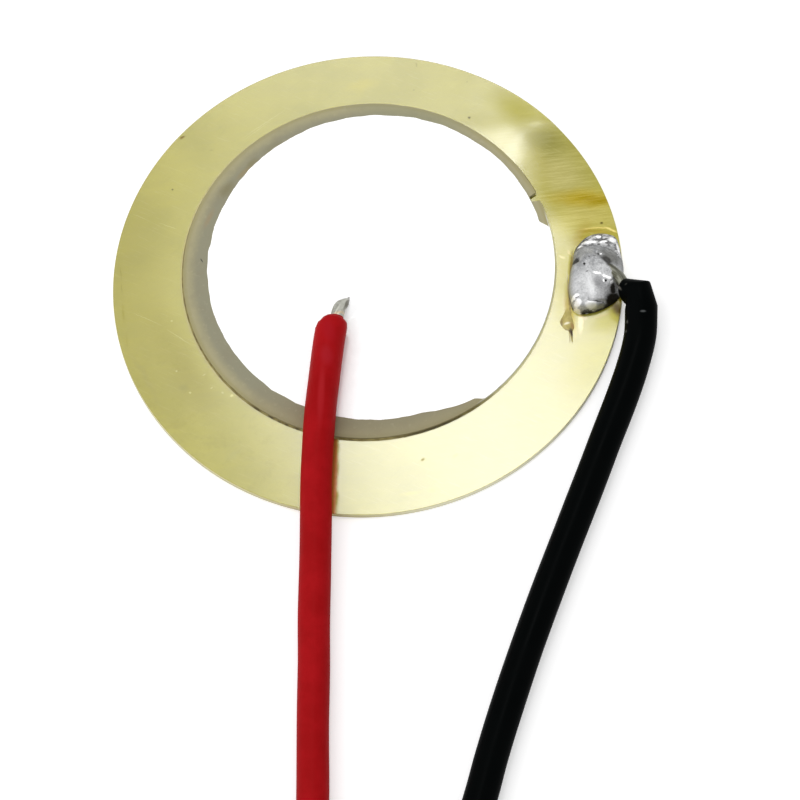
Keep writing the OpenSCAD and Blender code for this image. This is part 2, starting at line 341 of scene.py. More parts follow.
# %% Bare wire
def fused_strands(name, path, radius_at, lobes=6, twist=1.6, depth=0.07):
    """A tube with lobes that twist along it."""
    def radius(distance, turn):
        lobed = 1 - depth + depth * np.abs(np.cos(lobes / 2 * (turn + twist * distance))) * 1.6
        return radius_at(distance, turn) * lobed

    return tube(name, path, radius, 48)


def free_end(name, lead):
    """Bare wire that sticks out of a lead's free end."""
    start = lead[-1]
    direction = lead[-1] - lead[-2]
    direction /= np.linalg.norm(direction)
    steps = np.linspace(-0.4, STRIP - 0.002, 60)

    def radius_at(distance, turn):
        left = STRIP + 0.4 - distance
        return WIRE_R * 0.96 * np.sqrt(np.clip(1 - (1 - left / 0.25).clip(0) ** 2, 0.03, 1))

    return fused_strands(name, start + steps[:, None] * direction, radius_at)


red_free_end = free_end("red_free_end", red_path)
black_free_end = free_end("black_free_end", black_path)

RED_TIP = [(-1.83, -2.62, 1.47), (-1.71, -2.25, 1.46), (-1.58, -1.97, 1.4), (-1.41, -1.77, 1.3),
           (-1.27, -1.58, 1.16), (-1.14, -1.38, 0.98), (-1.07, -1.18, 0.8)]


def red_tip_radius(distance, turn):
    """A leaf shape that runs out to a point."""
    share = distance / 2.0
    return WIRE_R * (0.93 * (1 - ease(0.3, 1.02, share)) + 0.05)


red_tip = fused_strands("red_tip", smooth_curve(RED_TIP, 6), red_tip_radius, twist=0.9, depth=0.09)

BLACK_WIRE = [(13.45, -2.75, 1.05), (13.3, -2.45, 1.15), (13.15, -2.1, 1.15), (12.93, -1.78, 1.07),
              (12.67, -1.42, 0.98), (12.38, -1.04, 0.85), (12.15, -0.75, 0.7)]


def black_wire_radius(distance, turn):
    """Half as thick where it sinks into the joint."""
    return 0.31 * (1 - 0.5 * ease(1.4, 2.6, distance))


black_strands = fused_strands("black_strands", smooth_curve(BLACK_WIRE, 8), black_wire_radius,
                              lobes=7, twist=0.35, depth=0.1)
print("bare wire:", count_triangles(red_free_end), "triangles for each free end")

# %% [markdown]
# ## Discs made of rings
#
# The plate, the ceramic, the silver print, the solder and the flux all start as the same thing:
# a round face that is inset again and again, so that it has rings of faces to shape. Each is
# then drawn to its own outline and height.

# %% A disc made of rings
def ringed_disc(name, radii, sides):
    """A flat disc with a ring of faces between each two radii in millimetres."""
    bpy.ops.object.select_all(action="DESELECT")
    bpy.ops.mesh.primitive_circle_add(vertices=sides, radius=radii[0] * MM, fill_type="NGON")
    disc = bpy.context.object
    disc.name = disc.data.name = name
    bpy.ops.object.mode_set(mode="EDIT")
    bpy.ops.mesh.select_mode(type="FACE")
    bpy.ops.mesh.select_all(action="SELECT")
    for outer, inner in zip(radii, radii[1:]):
        bpy.ops.mesh.inset(thickness=(outer - inner) * MM)
    bpy.ops.mesh.poke()
    bpy.ops.object.mode_set(mode="OBJECT")
    return disc


def get_points(thing):
    points = np.empty(len(thing.data.vertices) * 3, np.float32)
    thing.data.vertices.foreach_get("co", points)
    return points.reshape(-1, 3).astype(float) / MM


def set_points(thing, points):
    thing.data.vertices.foreach_set("co", (points * MM).astype(np.float32).ravel())
    thing.data.update()


def extrude_down(thing, depth):
    """Gives a flat disc a wall and an underside by extruding all of it."""
    select_only(thing)
    bpy.ops.object.mode_set(mode="EDIT")
    bpy.ops.mesh.select_all(action="SELECT")
    bpy.ops.mesh.extrude_region_move(TRANSFORM_OT_translate={"value": (0, 0, -depth * MM)})
    bpy.ops.mesh.select_all(action="SELECT")
    bpy.ops.mesh.normals_make_consistent(inside=False)
    bpy.ops.object.mode_set(mode="OBJECT")


def rough(points, scale, seed):
    """Soft noise from -1 to 1 at each point, with features of about 1 / scale millimetres."""
    offset = Vector((seed * 7.3, seed * 3.1, seed * 5.7))
    return np.array([noise.noise(Vector(p) * scale + offset) for p in points])


# %% [markdown]
# ## The brass plate
#
# The plate is blanked from thin sheet, so it has a broken edge on top, and it has been pushed up
# a little near the rim: a dimple less than a tenth of a millimetre high, with a faint crease. It
# shows because brass shows every slope, and painted shade on its far side adds to it. The
# underside follows, as sheet does.

# %% The brass plate
PLATE_R, PLATE_T = 13.5, 0.3
CERAMIC = np.array([0.14, 0.58])
CERAMIC_R = 9.85

plate_radii = [PLATE_R, 13.46, *np.linspace(13.3, 9.0, 24), 6.0, 3.0, 1.0]
brass_disc = ringed_disc("brass_disc", plate_radii, 320)


def bent_rim(x, y):
    """Height of the bend over the flat plate, in millimetres."""
    r, turn = np.hypot(x, y), np.degrees(np.arctan2(y, x))
    outward = np.clip((r - 9.86) / 2.2, 0, 1)
    ramp = 0.06 * np.sin(math.pi / 2 * outward) * ease(31, 40, turn) * (1 - ease(43, 60, turn))
    crease = 0.012 * np.exp(-((y - 8.12) / 0.2) ** 2) * ease(9.3, 10.5, x)
    return ramp + crease * outward


plate = get_points(brass_disc)
edge = np.hypot(plate[:, 0], plate[:, 1]) > PLATE_R - 0.02
plate[:, 2] = PLATE_T - 0.03 * edge
set_points(brass_disc, plate)
extrude_down(brass_disc, PLATE_T)
plate = get_points(brass_disc)
plate[:, 2] = np.maximum(plate[:, 2], 0) + bent_rim(plate[:, 0], plate[:, 1])
set_points(brass_disc, plate)
shade_smooth(brass_disc, 35)
print("brass disc:", count_triangles(brass_disc), "triangles, bend",
      round(float(bent_rim(plate[:, 0], plate[:, 1]).max()), 3), "mm")

# %% [markdown]
# ## The ceramic and its silver print
#
# The ceramic is a hard brittle disc. Its edge has nicks of a few hundredths of a millimetre and
# one chip that goes right through. A chip is a break, so it is cut out with a Boolean modifier
# by a roughened block. The silver on top is a screen print: a disc with a soft edge, which ran
# out to the ceramic's rim on one side.

# %% The ceramic and its silver print
CERAMIC_Z, CERAMIC_T, SILVER_T = 0.34, 0.18, 0.02
PRINT_R, PRINT_SHIFT, PRINT_TURN = 8.95, 0.43, 15
CHIP_ANGLE, CHIP_DEPTH = math.radians(17.7), 0.43


def drawn_disc(name, radius_at, top, thickness, steps, centre):
    """A disc whose outline is radius_at(degrees) about a centre, with a wall."""
    disc = ringed_disc(name, steps, 540)
    p = get_points(disc)
    angle = np.degrees(np.arctan2(p[:, 1], p[:, 0]))
    reach = radius_at(angle) / steps[0]
    disc_points = np.column_stack([p[:, 0] * reach + centre[0], p[:, 1] * reach + centre[1],
                                   np.full(len(p), top)])
    set_points(disc, disc_points)
    extrude_down(disc, thickness)
    return disc


def nicked_edge(angle):
    ring = np.column_stack([np.cos(np.radians(angle)), np.sin(np.radians(angle)), 0 * angle])
    nicks = np.maximum(rough(ring, 16, 3) - 0.35, 0) * 0.09
    return CERAMIC_R - 0.005 - nicks - 0.006 * rough(ring, 60, 5)


def print_edge(angle):
    a = np.radians(angle)
    ring = np.column_stack([np.cos(a), np.sin(a), 0 * a])
    disc = PRINT_R + PRINT_SHIFT * np.cos(a - math.radians(PRINT_TURN))
    disc = disc + 0.03 * rough(ring, 5, 11) + 0.045 * rough(ring, 13, 13)
    disc = disc + 0.015 * rough(ring, 40, 12)
    spill = 0.55 * ease(-80, -60, angle) + 0.45 * ease(-61, -57.8, angle)
    spill *= 1 - ease(5.8, 9.8, angle)
    return disc + (CERAMIC_R - 0.02 - disc) * spill


ceramic_body = drawn_disc("ceramic_body", nicked_edge, CERAMIC_Z + CERAMIC_T, CERAMIC_T,
                          [9.85, 9.8, 9.5, 9, 8, 6, 3, 1], CERAMIC)
silver_print = drawn_disc("silver_print", print_edge, CERAMIC_Z + CERAMIC_T + SILVER_T, SILVER_T,
                          [8.95, 8.9, 8.5, 7, 5, 3, 1], CERAMIC)


def chip_cutter():
    """A roughened wedge at the chip."""
    bpy.ops.object.select_all(action="DESELECT")
    bpy.ops.mesh.primitive_cube_add(size=MM)
    cutter = bpy.context.object
    bpy.ops.object.mode_set(mode="EDIT")
    bpy.ops.mesh.subdivide(number_cuts=7)
    bpy.ops.object.mode_set(mode="OBJECT")
    p = get_points(cutter)
    depth, width = 0.93, 0.33 + 0.37 * (p[:, 0] + 0.5)
    jag = 0.045 * rough(p, 4.0, 21)
    local = np.column_stack([
        CERAMIC_R - CHIP_DEPTH + (p[:, 0] + 0.5) * depth + jag * (p[:, 0] < 0.4),
        p[:, 1] * width + jag * np.sign(p[:, 1]),
        0.44 + p[:, 2] * 0.6,
    ])
    c, s = math.cos(CHIP_ANGLE), math.sin(CHIP_ANGLE)
    set_points(cutter, np.column_stack([
        CERAMIC[0] + local[:, 0] * c - local[:, 1] * s,
        CERAMIC[1] + local[:, 0] * s + local[:, 1] * c, local[:, 2]]))
    return cutter


cutter = chip_cutter()
for layer in (ceramic_body, silver_print):
    select_only(layer)
    cut = layer.modifiers.new("chip", "BOOLEAN")
    cut.operation, cut.object, cut.solver = "DIFFERENCE", cutter, "EXACT"
    bpy.ops.object.modifier_apply(modifier=cut.name)
    shade_smooth(layer, 30)
bpy.data.objects.remove(cutter)
print("ceramic:", count_triangles(ceramic_body), "silver print:", count_triangles(silver_print),
      "triangles")

# %% [markdown]
# ## The solder at the rim
#
# This joint was made in two goes. A first thin flow of solder ran over the brass, and a thick
# drop was laid over it with the wire inside. So its height is the larger of two domes over one
# outline, with the drop's own edge as a crease, and lobes, dents and pits are added one by one.
# It is drawn as a ringed disc because the outline then stays crisp where it meets the brass.

# %% The solder at the rim
JOINT_CENTRE = np.array([12.0, -1.3])
JOINT_OUTLINE = [
    (12.55, 1.0), (13.05, 0.86), (13.33, 0.6), (13.43, 0.05), (13.49, -0.85), (13.44, -1.45),
    (13.24, -2.2), (13.0, -2.85), (12.5, -3.22), (11.9, -3.46), (11.35, -3.54), (10.84, -3.52),
    (10.56, -3.3), (10.47, -2.95), (10.43, -2.25), (10.6, -1.3), (10.83, -0.6), (11.03, 0.15),
    (11.4, 0.6), (11.7, 0.84), (12.1, 0.99),
]
# Edge of the thick drop, where it laps over the thin flow
DROP_EDGE = [(10.6, -0.2), (11.07, 0.02), (11.5, 0.18), (12.13, 0.16), (12.76, -0.08),
             (13.19, -0.45), (13.6, -1.0)]


def outline_reach(outline, centre, angle):
    """Distance from a centre to a closed smooth outline, for an array of directions."""
    closed = smooth_curve([outline[-1], *outline, outline[0], outline[1]], 8)[8:-8]
    away = closed - centre
    bearings = np.unwrap(np.arctan2(away[:, 1], away[:, 0])) % math.tau
    order = np.argsort(bearings)
    a, r = bearings[order], np.hypot(*away.T)[order]
    return np.interp(angle % math.tau, a, r, period=math.tau)


def signed_distance(path, x, y):
    """Distance from each point to an open path, positive on its left."""
    path = np.array(path, float)
    best, sign = np.full(x.shape, 1e9), np.ones(x.shape)
    for a, b in zip(path, path[1:]):
        d = b - a
        t = np.clip(((x - a[0]) * d[0] + (y - a[1]) * d[1]) / (d @ d), 0, 1)
        dx, dy = x - a[0] - t * d[0], y - a[1] - t * d[1]
        size = np.hypot(dx, dy)
        near = size < best
        best = np.where(near, size, best)
        sign = np.where(near, np.where(d[0] * dy - d[1] * dx > 0, 1, -1), sign)
    return best * sign


def bump(x, y, at, size):
    """A soft round or oval bump of height 1."""
    u, v = (x - at[0]) / size[0], (y - at[1]) / size[1]
    return np.exp(-(u * u + v * v))


# Place, size and height of the lobes and dents, in millimetres
LOBES = [
    ((10.75, -2.85), (0.2, 0.2), 0.09), ((10.84, -3.1), (0.17, 0.14), 0.1),
    ((10.86, -3.32), (0.2, 0.12), 0.1), ((11.55, -3.3), (0.4, 0.16), 0.14),
    ((12.5, -1.75), (0.16, 0.12), 0.07), ((12.74, -2.05), (0.16, 0.1), 0.08),
    ((11.3, -2.2), (0.25, 0.7), 0.05), ((12.0, -2.1), (0.35, 0.4), -0.07),
    ((12.9, -2.75), (0.45, 0.5), -0.3), ((11.9, 0.62), (0.3, 0.12), 0.06),
    ((11.75, 0.36), (0.4, 0.08), 0.08), ((12.55, 0.32), (0.3, 0.07), 0.07),
    ((12.35, 0.75), (0.25, 0.1), 0.07), ((13.0, 0.45), (0.3, 0.14), 0.06),
    ((13.15, -0.3), (0.15, 0.4), 0.05),
]
PITS = [((11.08, -0.8), 0.13, 0.14), ((11.41, -1.1), 0.05, 0.1), ((11.49, -1.55), 0.04, 0.04),
        ((12.4, -2.2), 0.045, 0.12), ((10.8, -2.9), 0.05, 0.12), ((11.72, -0.7), 0.04, 0.05),
        ((10.66, -3.15), 0.035, 0.08), ((11.98, -0.7), 0.03, 0.05)]
GROOVE = [(12.15, -0.45), (12.48, -0.85), (12.72, -1.18), (12.92, -1.5), (13.3, -1.95)]
BOTTOM_CREASE = [(11.4, -3.15), (11.8, -3.22), (12.2, -3.2)]


def solder_height(x, y, share):
    """Height of the joint's surface. share is 0 in its middle and 1 on its outline."""
    flow = 0.5 * np.sqrt(np.clip(1 - share ** 7, 0, 1))
    inside = -signed_distance(DROP_EDGE, x, y)
    drop = (0.42 * ease(-0.01, 1.0, inside) + 0.13 * ease(-0.015, 0.1, inside))
    drop *= np.sqrt(np.clip(1 - share ** 4.5, 0, 1))
    height = flow + drop
    groove = np.abs(signed_distance(GROOVE, x, y))
    height -= 0.14 * np.exp(-(groove / 0.13) ** 2) * ease(0, 0.25, inside)
    crease = np.abs(signed_distance(BOTTOM_CREASE, x, y))
    height -= 0.08 * np.exp(-(crease / 0.05) ** 2)
    inner = np.sqrt(np.clip(1 - share ** 6, 0, 1))
    for at, size, rise in LOBES:
        height += rise * bump(x, y, at, size) * inner
    for at, size, depth in PITS:
        height -= depth * bump(x, y, at, (size, size))
    p = np.column_stack([x, y, 0 * x])
    crumple = 1 - ease(-0.02, 0.06, inside)
    lumps = 0.035 * rough(p, 1.9, 31) + 0.012 * rough(p, 5, 32) + 0.003 * rough(p, 14, 33)
    folds = 0.09 * np.abs(rough(p * (1, 2, 1), 3.0, 34)) + 0.02 * rough(p, 8, 35)
    height += inner * lumps
    height += inner * crumple * folds
    return np.where(share > 0.999, PLATE_T - 0.01, PLATE_T + np.maximum(height, 0.0))


def close_under(thing):
    """Fills a dome's open foot with one face."""
    select_only(thing)
    bpy.ops.object.mode_set(mode="EDIT")
    bpy.ops.mesh.select_mode(type="EDGE")
    bpy.ops.mesh.select_all(action="DESELECT")
    bpy.ops.mesh.select_non_manifold()
    bpy.ops.mesh.edge_face_add()
    bpy.ops.mesh.select_all(action="SELECT")
    bpy.ops.mesh.normals_make_consistent(inside=False)
    bpy.ops.object.mode_set(mode="OBJECT")


def domed(name, steps, sides, centre, reach_at, height_at):
    """A ringed disc drawn out to reach_at(angle) round a centre, raised to height_at(x, y, share)
    and closed underneath."""
    dome = ringed_disc(name, steps, sides)
    p = get_points(dome)
    share = np.hypot(p[:, 0], p[:, 1]).clip(0, 1)
    angle = np.arctan2(p[:, 1], p[:, 0])
    reach = reach_at(angle) * share
    p[:, 0] = centre[0] + reach * np.cos(angle)
    p[:, 1] = centre[1] + reach * np.sin(angle)
    p[:, 2] = height_at(p[:, 0], p[:, 1], share)
    set_points(dome, p)
    close_under(dome)
    shade_smooth(dome, 60)
    return dome


def joint_reach(angle):
    return outline_reach(JOINT_OUTLINE, JOINT_CENTRE, angle)


rim_solder = domed("rim_solder", [1.0, 0.985, 0.97, 0.95, *np.linspace(0.93, 0.03, 76)], 300,
                   JOINT_CENTRE, joint_reach, solder_height)
print("rim solder:", count_triangles(rim_solder), "triangles, top at",
      round(float(get_points(rim_solder)[:, 2].max()), 2), "mm")

# %% [markdown]
# ## The solder in the middle and the flux
#
# The joint in the middle of the silver is small and flat, and takes the wire's tip. The flux
# beside the rim joint is a drop that was dragged out into a tail. Both are ringed discs again.

# %% The solder in the middle and the flux
DOT = np.array([-1.35, -1.55])
STACK_TOP = 0.54


def dot_reach(angle):
    return 0.88 + 0.05 * np.cos(2 * angle - 1.5) + 0.02 * np.cos(5 * angle)


def dot_height(x, y, share):
    ripples = 0.012 * rough(np.column_stack([x, y, 0 * x]), 3.0, 41)
    dome = (0.23 * (1 - share ** 2) ** 1.7 + ripples) * (1 - share ** 8)
    return STACK_TOP - 0.004 * (share > 0.99) + dome


centre_solder = domed("centre_solder", [1.0, 0.96, *np.linspace(0.9, 0.05, 22)], 96, DOT,
                      dot_reach, dot_height)

FLUX_OUTLINE = [(10.2, -3.1), (10.36, -3.35), (10.44, -3.7), (10.47, -4.05), (10.46, -4.3),
                (10.36, -4.45), (10.33, -4.8), (10.22, -5.25), (10.12, -5.22), (10.16, -4.8),
                (10.2, -4.45), (10.0, -4.32), (9.84, -4.1), (9.76, -3.82), (9.88, -3.6),
                (10.04, -3.35)]
FLUX_CENTRE = np.array([10.2, -4.15])


def flux_reach(angle):
    return outline_reach(FLUX_OUTLINE, FLUX_CENTRE, angle)


def flux_height(x, y, share):
    swell = 0.05 * np.sqrt(1 - share ** 2) + 0.05 * bump(x, y, (10.1, -3.9), (0.25, 0.35))
    return PLATE_T - 0.004 * (share > 0.99) + swell * np.sqrt(1 - share ** 4)


flux_drop = domed("flux_drop", [1.0, 0.95, *np.linspace(0.88, 0.06, 14)], 160, FLUX_CENTRE,
                  flux_reach, flux_height)
print("centre solder:", count_triangles(centre_solder), "flux:", count_triangles(flux_drop))

# %% [markdown]
# ## Shader maths
#
# A material is a graph of nodes. Written as Python expressions it stays readable: a small class
# wraps a socket, and its operators add the Math nodes. Every other node comes from one method.

# %% Shader maths
class Value:
    """A socket in a material's graph. Sums and products of values add their Math nodes."""

    def __init__(self, graph, socket):
        self.graph, self.socket = graph, socket

    def maths(self, operation, *others):
        return self.graph.node("ShaderNodeMath", [self, *others], operation=operation)

    def __add__(self, other):
        return self.maths("ADD", other)

    def __sub__(self, other):
        return self.maths("SUBTRACT", other)

    def __mul__(self, other):
        if isinstance(other, tuple):
            return self.graph.vector("MULTIPLY", [self, other])
        return self.maths("MULTIPLY", other)

    def __rsub__(self, other):
        return self.graph.node("ShaderNodeMath", [other, self], operation="SUBTRACT")

    __radd__, __rmul__ = __add__, __mul__


class Graph:
    """The node graph of a material or of the world, emptied to start with."""

    def __init__(self, owner):
        owner.use_nodes = True
        self.tree = owner.node_tree
        self.tree.nodes.clear()

    def node(self, kind, inputs=(), output=0, **settings):
        """Adds a node. inputs gives its sockets in order or by name; the result is a value."""
        made = self.tree.nodes.new(kind)
        for name, setting in settings.items():
            setattr(made, name, setting)
        named = inputs.items() if isinstance(inputs, dict) else enumerate(inputs)
        for name, value in named:
            if isinstance(value, Value):
                self.tree.links.new(value.socket, made.inputs[name])
            else:
                made.inputs[name].default_value = value
        return Value(self, made.outputs[output]) if made.outputs else made

    def vector(self, operation, inputs, output=0):
        return self.node("ShaderNodeVectorMath", inputs, output, operation=operation)

    def place(self):
        """The point on the object, in millimetres."""
        metres = self.node("ShaderNodeTexCoord", output="Object")
        return self.vector("SCALE", {"Vector": metres, "Scale": 1000.0})

    def stretched(self, point, scale):
        """The point multiplied by a scale for each axis, for patterns longer one way."""
        return self.node("ShaderNodeMapping", {"Vector": point, "Scale": scale})

    def noise(self, point, scale, detail=3.0, roughness=0.5):
        """Noise from 0 to 1, with features of about 1 / scale."""
        return self.node("ShaderNodeTexNoise", {
            "Vector": point, "Scale": scale, "Detail": detail, "Roughness": roughness})

    def between(self, value, low, high, out_low=0.0, out_high=1.0):
        """A smooth change from out_low to out_high as a value goes from low to high."""
        return self.node("ShaderNodeMapRange", [value, low, high, out_low, out_high],
                         interpolation_type="SMOOTHSTEP")

    def mix(self, factor, a, b):
        """Colour a where the factor is 0, and b where it is 1."""
        def rgba(colour):
            return colour if isinstance(colour, Value) else (*colour, 1.0)
        return self.node("ShaderNodeMix", {0: factor, 6: rgba(a), 7: rgba(b)}, output=2,
                         data_type="RGBA")

    def spot(self, point, at, size, turn=0.0, edge=0.5):
        """1 in an oval round a place and 0 outside it; edge is the share that fades."""
        local = self.node("ShaderNodeMapping", {
            "Vector": point, "Location": (at[0], at[1], 0), "Rotation": (0, 0, math.radians(turn)),
            "Scale": (size[0], size[-1], 50.0)}, vector_type="TEXTURE")
        distance = self.vector("LENGTH", [local], "Value")
        return self.between(distance, 1 - edge, 1 + edge, 1.0, 0.0)

    def paint(self, colour, point, marks):
        """Lays oval marks over a colour. Each has its oval, its own colour and a strength."""
        for *oval, shade, strength in marks:
            colour = self.mix(self.spot(point, *oval) * strength, colour, shade)
        return colour

    def axis(self, point, number):
        """One coordinate of a point: 0 for X, 1 for Y, 2 for Z."""
        return self.node("ShaderNodeSeparateXYZ", [point], output=number)

    def shifted(self, point, amount, scale):
        """The point moved about a little, for outlines that aren't ovals."""
        wander = self.node("ShaderNodeTexNoise", {"Vector": point, "Scale": scale, "Detail": 3.0},
                           output="Color")
        centred = self.vector("SUBTRACT", [wander, (0.5, 0.5, 0.5)])
        scaled = self.vector("SCALE", {"Vector": centred, "Scale": amount * 2})
        return self.vector("ADD", [point, scaled])

    def bump(self, height, depth):
        """A normal from a height of 0 to 1, whose full depth is given in millimetres."""
        return self.node("ShaderNodeBump", {"Height": height, "Distance": depth * MM,
                                            "Strength": 1.0})

    def surface(self, **sockets):
        """The Principled shader of a material. Names are written with underscores."""
        inputs = {name.replace("_", " ").title().replace("Ior", "IOR"): value
                  for name, value in sockets.items()}
        for name, value in inputs.items():
            if isinstance(value, tuple) and len(value) == 3 and "Normal" not in name:
                inputs[name] = (*value, 1.0)
        shader = self.node("ShaderNodeBsdfPrincipled", inputs)
        self.node("ShaderNodeOutputMaterial", [shader])


def largest(masks):
    """The largest of several masks at each point."""
    first, *others = masks
    for mask in others:
        first = first.maths("MAXIMUM", mask)
    return first


def material(name):
    made = bpy.data.materials.new(name)
    return made, Graph(made)


# %% [markdown]
# ## Brass
#
# The plate is rolled brass sheet under a thin clear lacquer. The sheet gives fine lines along
# the rolling direction and broad uneven tarnish. Handling and soldering left the rest: an amber
# band and halo of flux by the joint, specks, pale scratches and olive blotches by the rim. Some
# marks are painted light instead: painted shade by the dimple and at the joint's foot, dark flux
# with painted shadow under the black lead, and a painted reflection of the red lead. Each is an
# oval mask on the plate whose outline is made to wander. The far left is painted darker as
# painted shade.

# %% Brass
brass, g = material("brass")
point = g.place()
wander = g.shifted(point, 0.25, 0.9)
fine_wander = g.shifted(point, 0.06, 5.0)

rolled = g.stretched(point, (0.6, 13.0, 1.0))
lines = g.noise(rolled, 1.0, 3.0, 0.6)
clouds = g.noise(point, 0.22, 3.0, 0.55)
grain = g.noise(point, 9.0, 2.0, 0.5)

scored = 0.06 + g.spot(point, (11.0, 4.0), (3.5, 5.5), 15, 0.4) * 0.3
colour = g.mix(g.between(clouds, 0.3, 0.7), (0.275, 0.25, 0.020), (0.325, 0.294, 0.032))
# The far left of the plate is painted darker, as painted shade
west = g.axis(wander, 0)
colour = g.mix(g.between(west, -9.0, -12.5) * 0.5, colour, (0.25, 0.22, 0.018))
colour = g.mix(g.between(lines, 0.4, 0.7) * scored, colour, (0.50, 0.46, 0.11))
colour = g.mix(g.between(grain, 0.45, 0.8) * 0.12, colour, (0.22, 0.20, 0.03))

# Place, size, turn and softness of each mark, its colour and its strength
BROAD_MARKS = [
    ((10.9, 5.0), (1.5, 2.2), 25, 0.8, (0.37, 0.335, 0.125), 0.85),
    # Painted shade on the dimple's far flank, below its crease
    ((10.5, 6.95), (1.3, 0.85), -35, 0.9, (0.225, 0.21, 0.055), 0.85),
    ((12.3, 5.4), (0.9, 1.7), 25, 0.8, (0.29, 0.265, 0.065), 0.5),
    # Painted shade above the dimple's crease
    ((9.2, 9.2), (1.5, 0.7), -42, 0.8, (0.33, 0.30, 0.04), 0.5),
    ((12.0, 2.2), (1.7, 1.0), -10, 0.8, (0.40, 0.35, 0.10), 0.8),
    ((10.6, 1.7), (0.7, 0.7), 0, 0.9, (0.52, 0.48, 0.18), 0.6),
    ((11.95, 3.25), (1.5, 0.45), -8, 0.8, (0.33, 0.25, 0.012), 0.9),
    ((12.5, 3.15), (0.8, 0.22), -8, 0.7, (0.26, 0.19, 0.001), 0.85),
    ((11.45, 1.05), (0.75, 0.3), 48, 0.8, (0.33, 0.255, 0.04), 0.7),
    ((10.2, -1.6), (0.6, 2.2), -9, 0.8, (0.44, 0.38, 0.04), 0.45),
    ((10.33, -3.0), (0.22, 0.75), 3, 0.6, (0.42, 0.33, 0.10), 0.8),
    ((10.5, -4.0), (0.12, 0.7), -5, 0.8, (0.42, 0.33, 0.02), 0.8),
    # Dark flux and painted shadow under the black lead's kink
    ((12.95, -3.3), (0.4, 0.55), 10, 0.7, (0.14, 0.09, 0.01), 0.7),
    ((12.3, -4.9), (0.6, 1.5), -22, 0.9, (0.36, 0.33, 0.03), 0.45),
    ((12.25, -4.1), (0.8, 0.55), 15, 0.9, (0.44, 0.40, 0.05), 0.6),
    ((11.0, -6.4), (1.0, 1.8), -30, 0.9, (0.42, 0.38, 0.03), 0.5),
    ((-10.3, -3.3), (0.8, 2.6), 18, 0.9, (0.23, 0.20, 0.015), 0.5),
    ((-9.3, -5.4), (0.8, 1.6), 30, 0.9, (0.23, 0.20, 0.015), 0.4),
    ((0.9, 11.6), (0.7, 0.3), 5, 0.7, (0.36, 0.31, 0.015), 0.6),
    ((0.75, 11.35), (0.2, 0.25), 0, 0.7, (0.34, 0.30, 0.02), 0.35),
    ((-12.2, -4.0), (0.12, 1.6), 22, 0.8, (0.24, 0.21, 0.03), 0.35),
    ((-8.0, -9.2), (0.5, 0.2), 30, 0.7, (0.28, 0.26, 0.04), 0.4),
]
colour = g.paint(colour, wander, BROAD_MARKS)

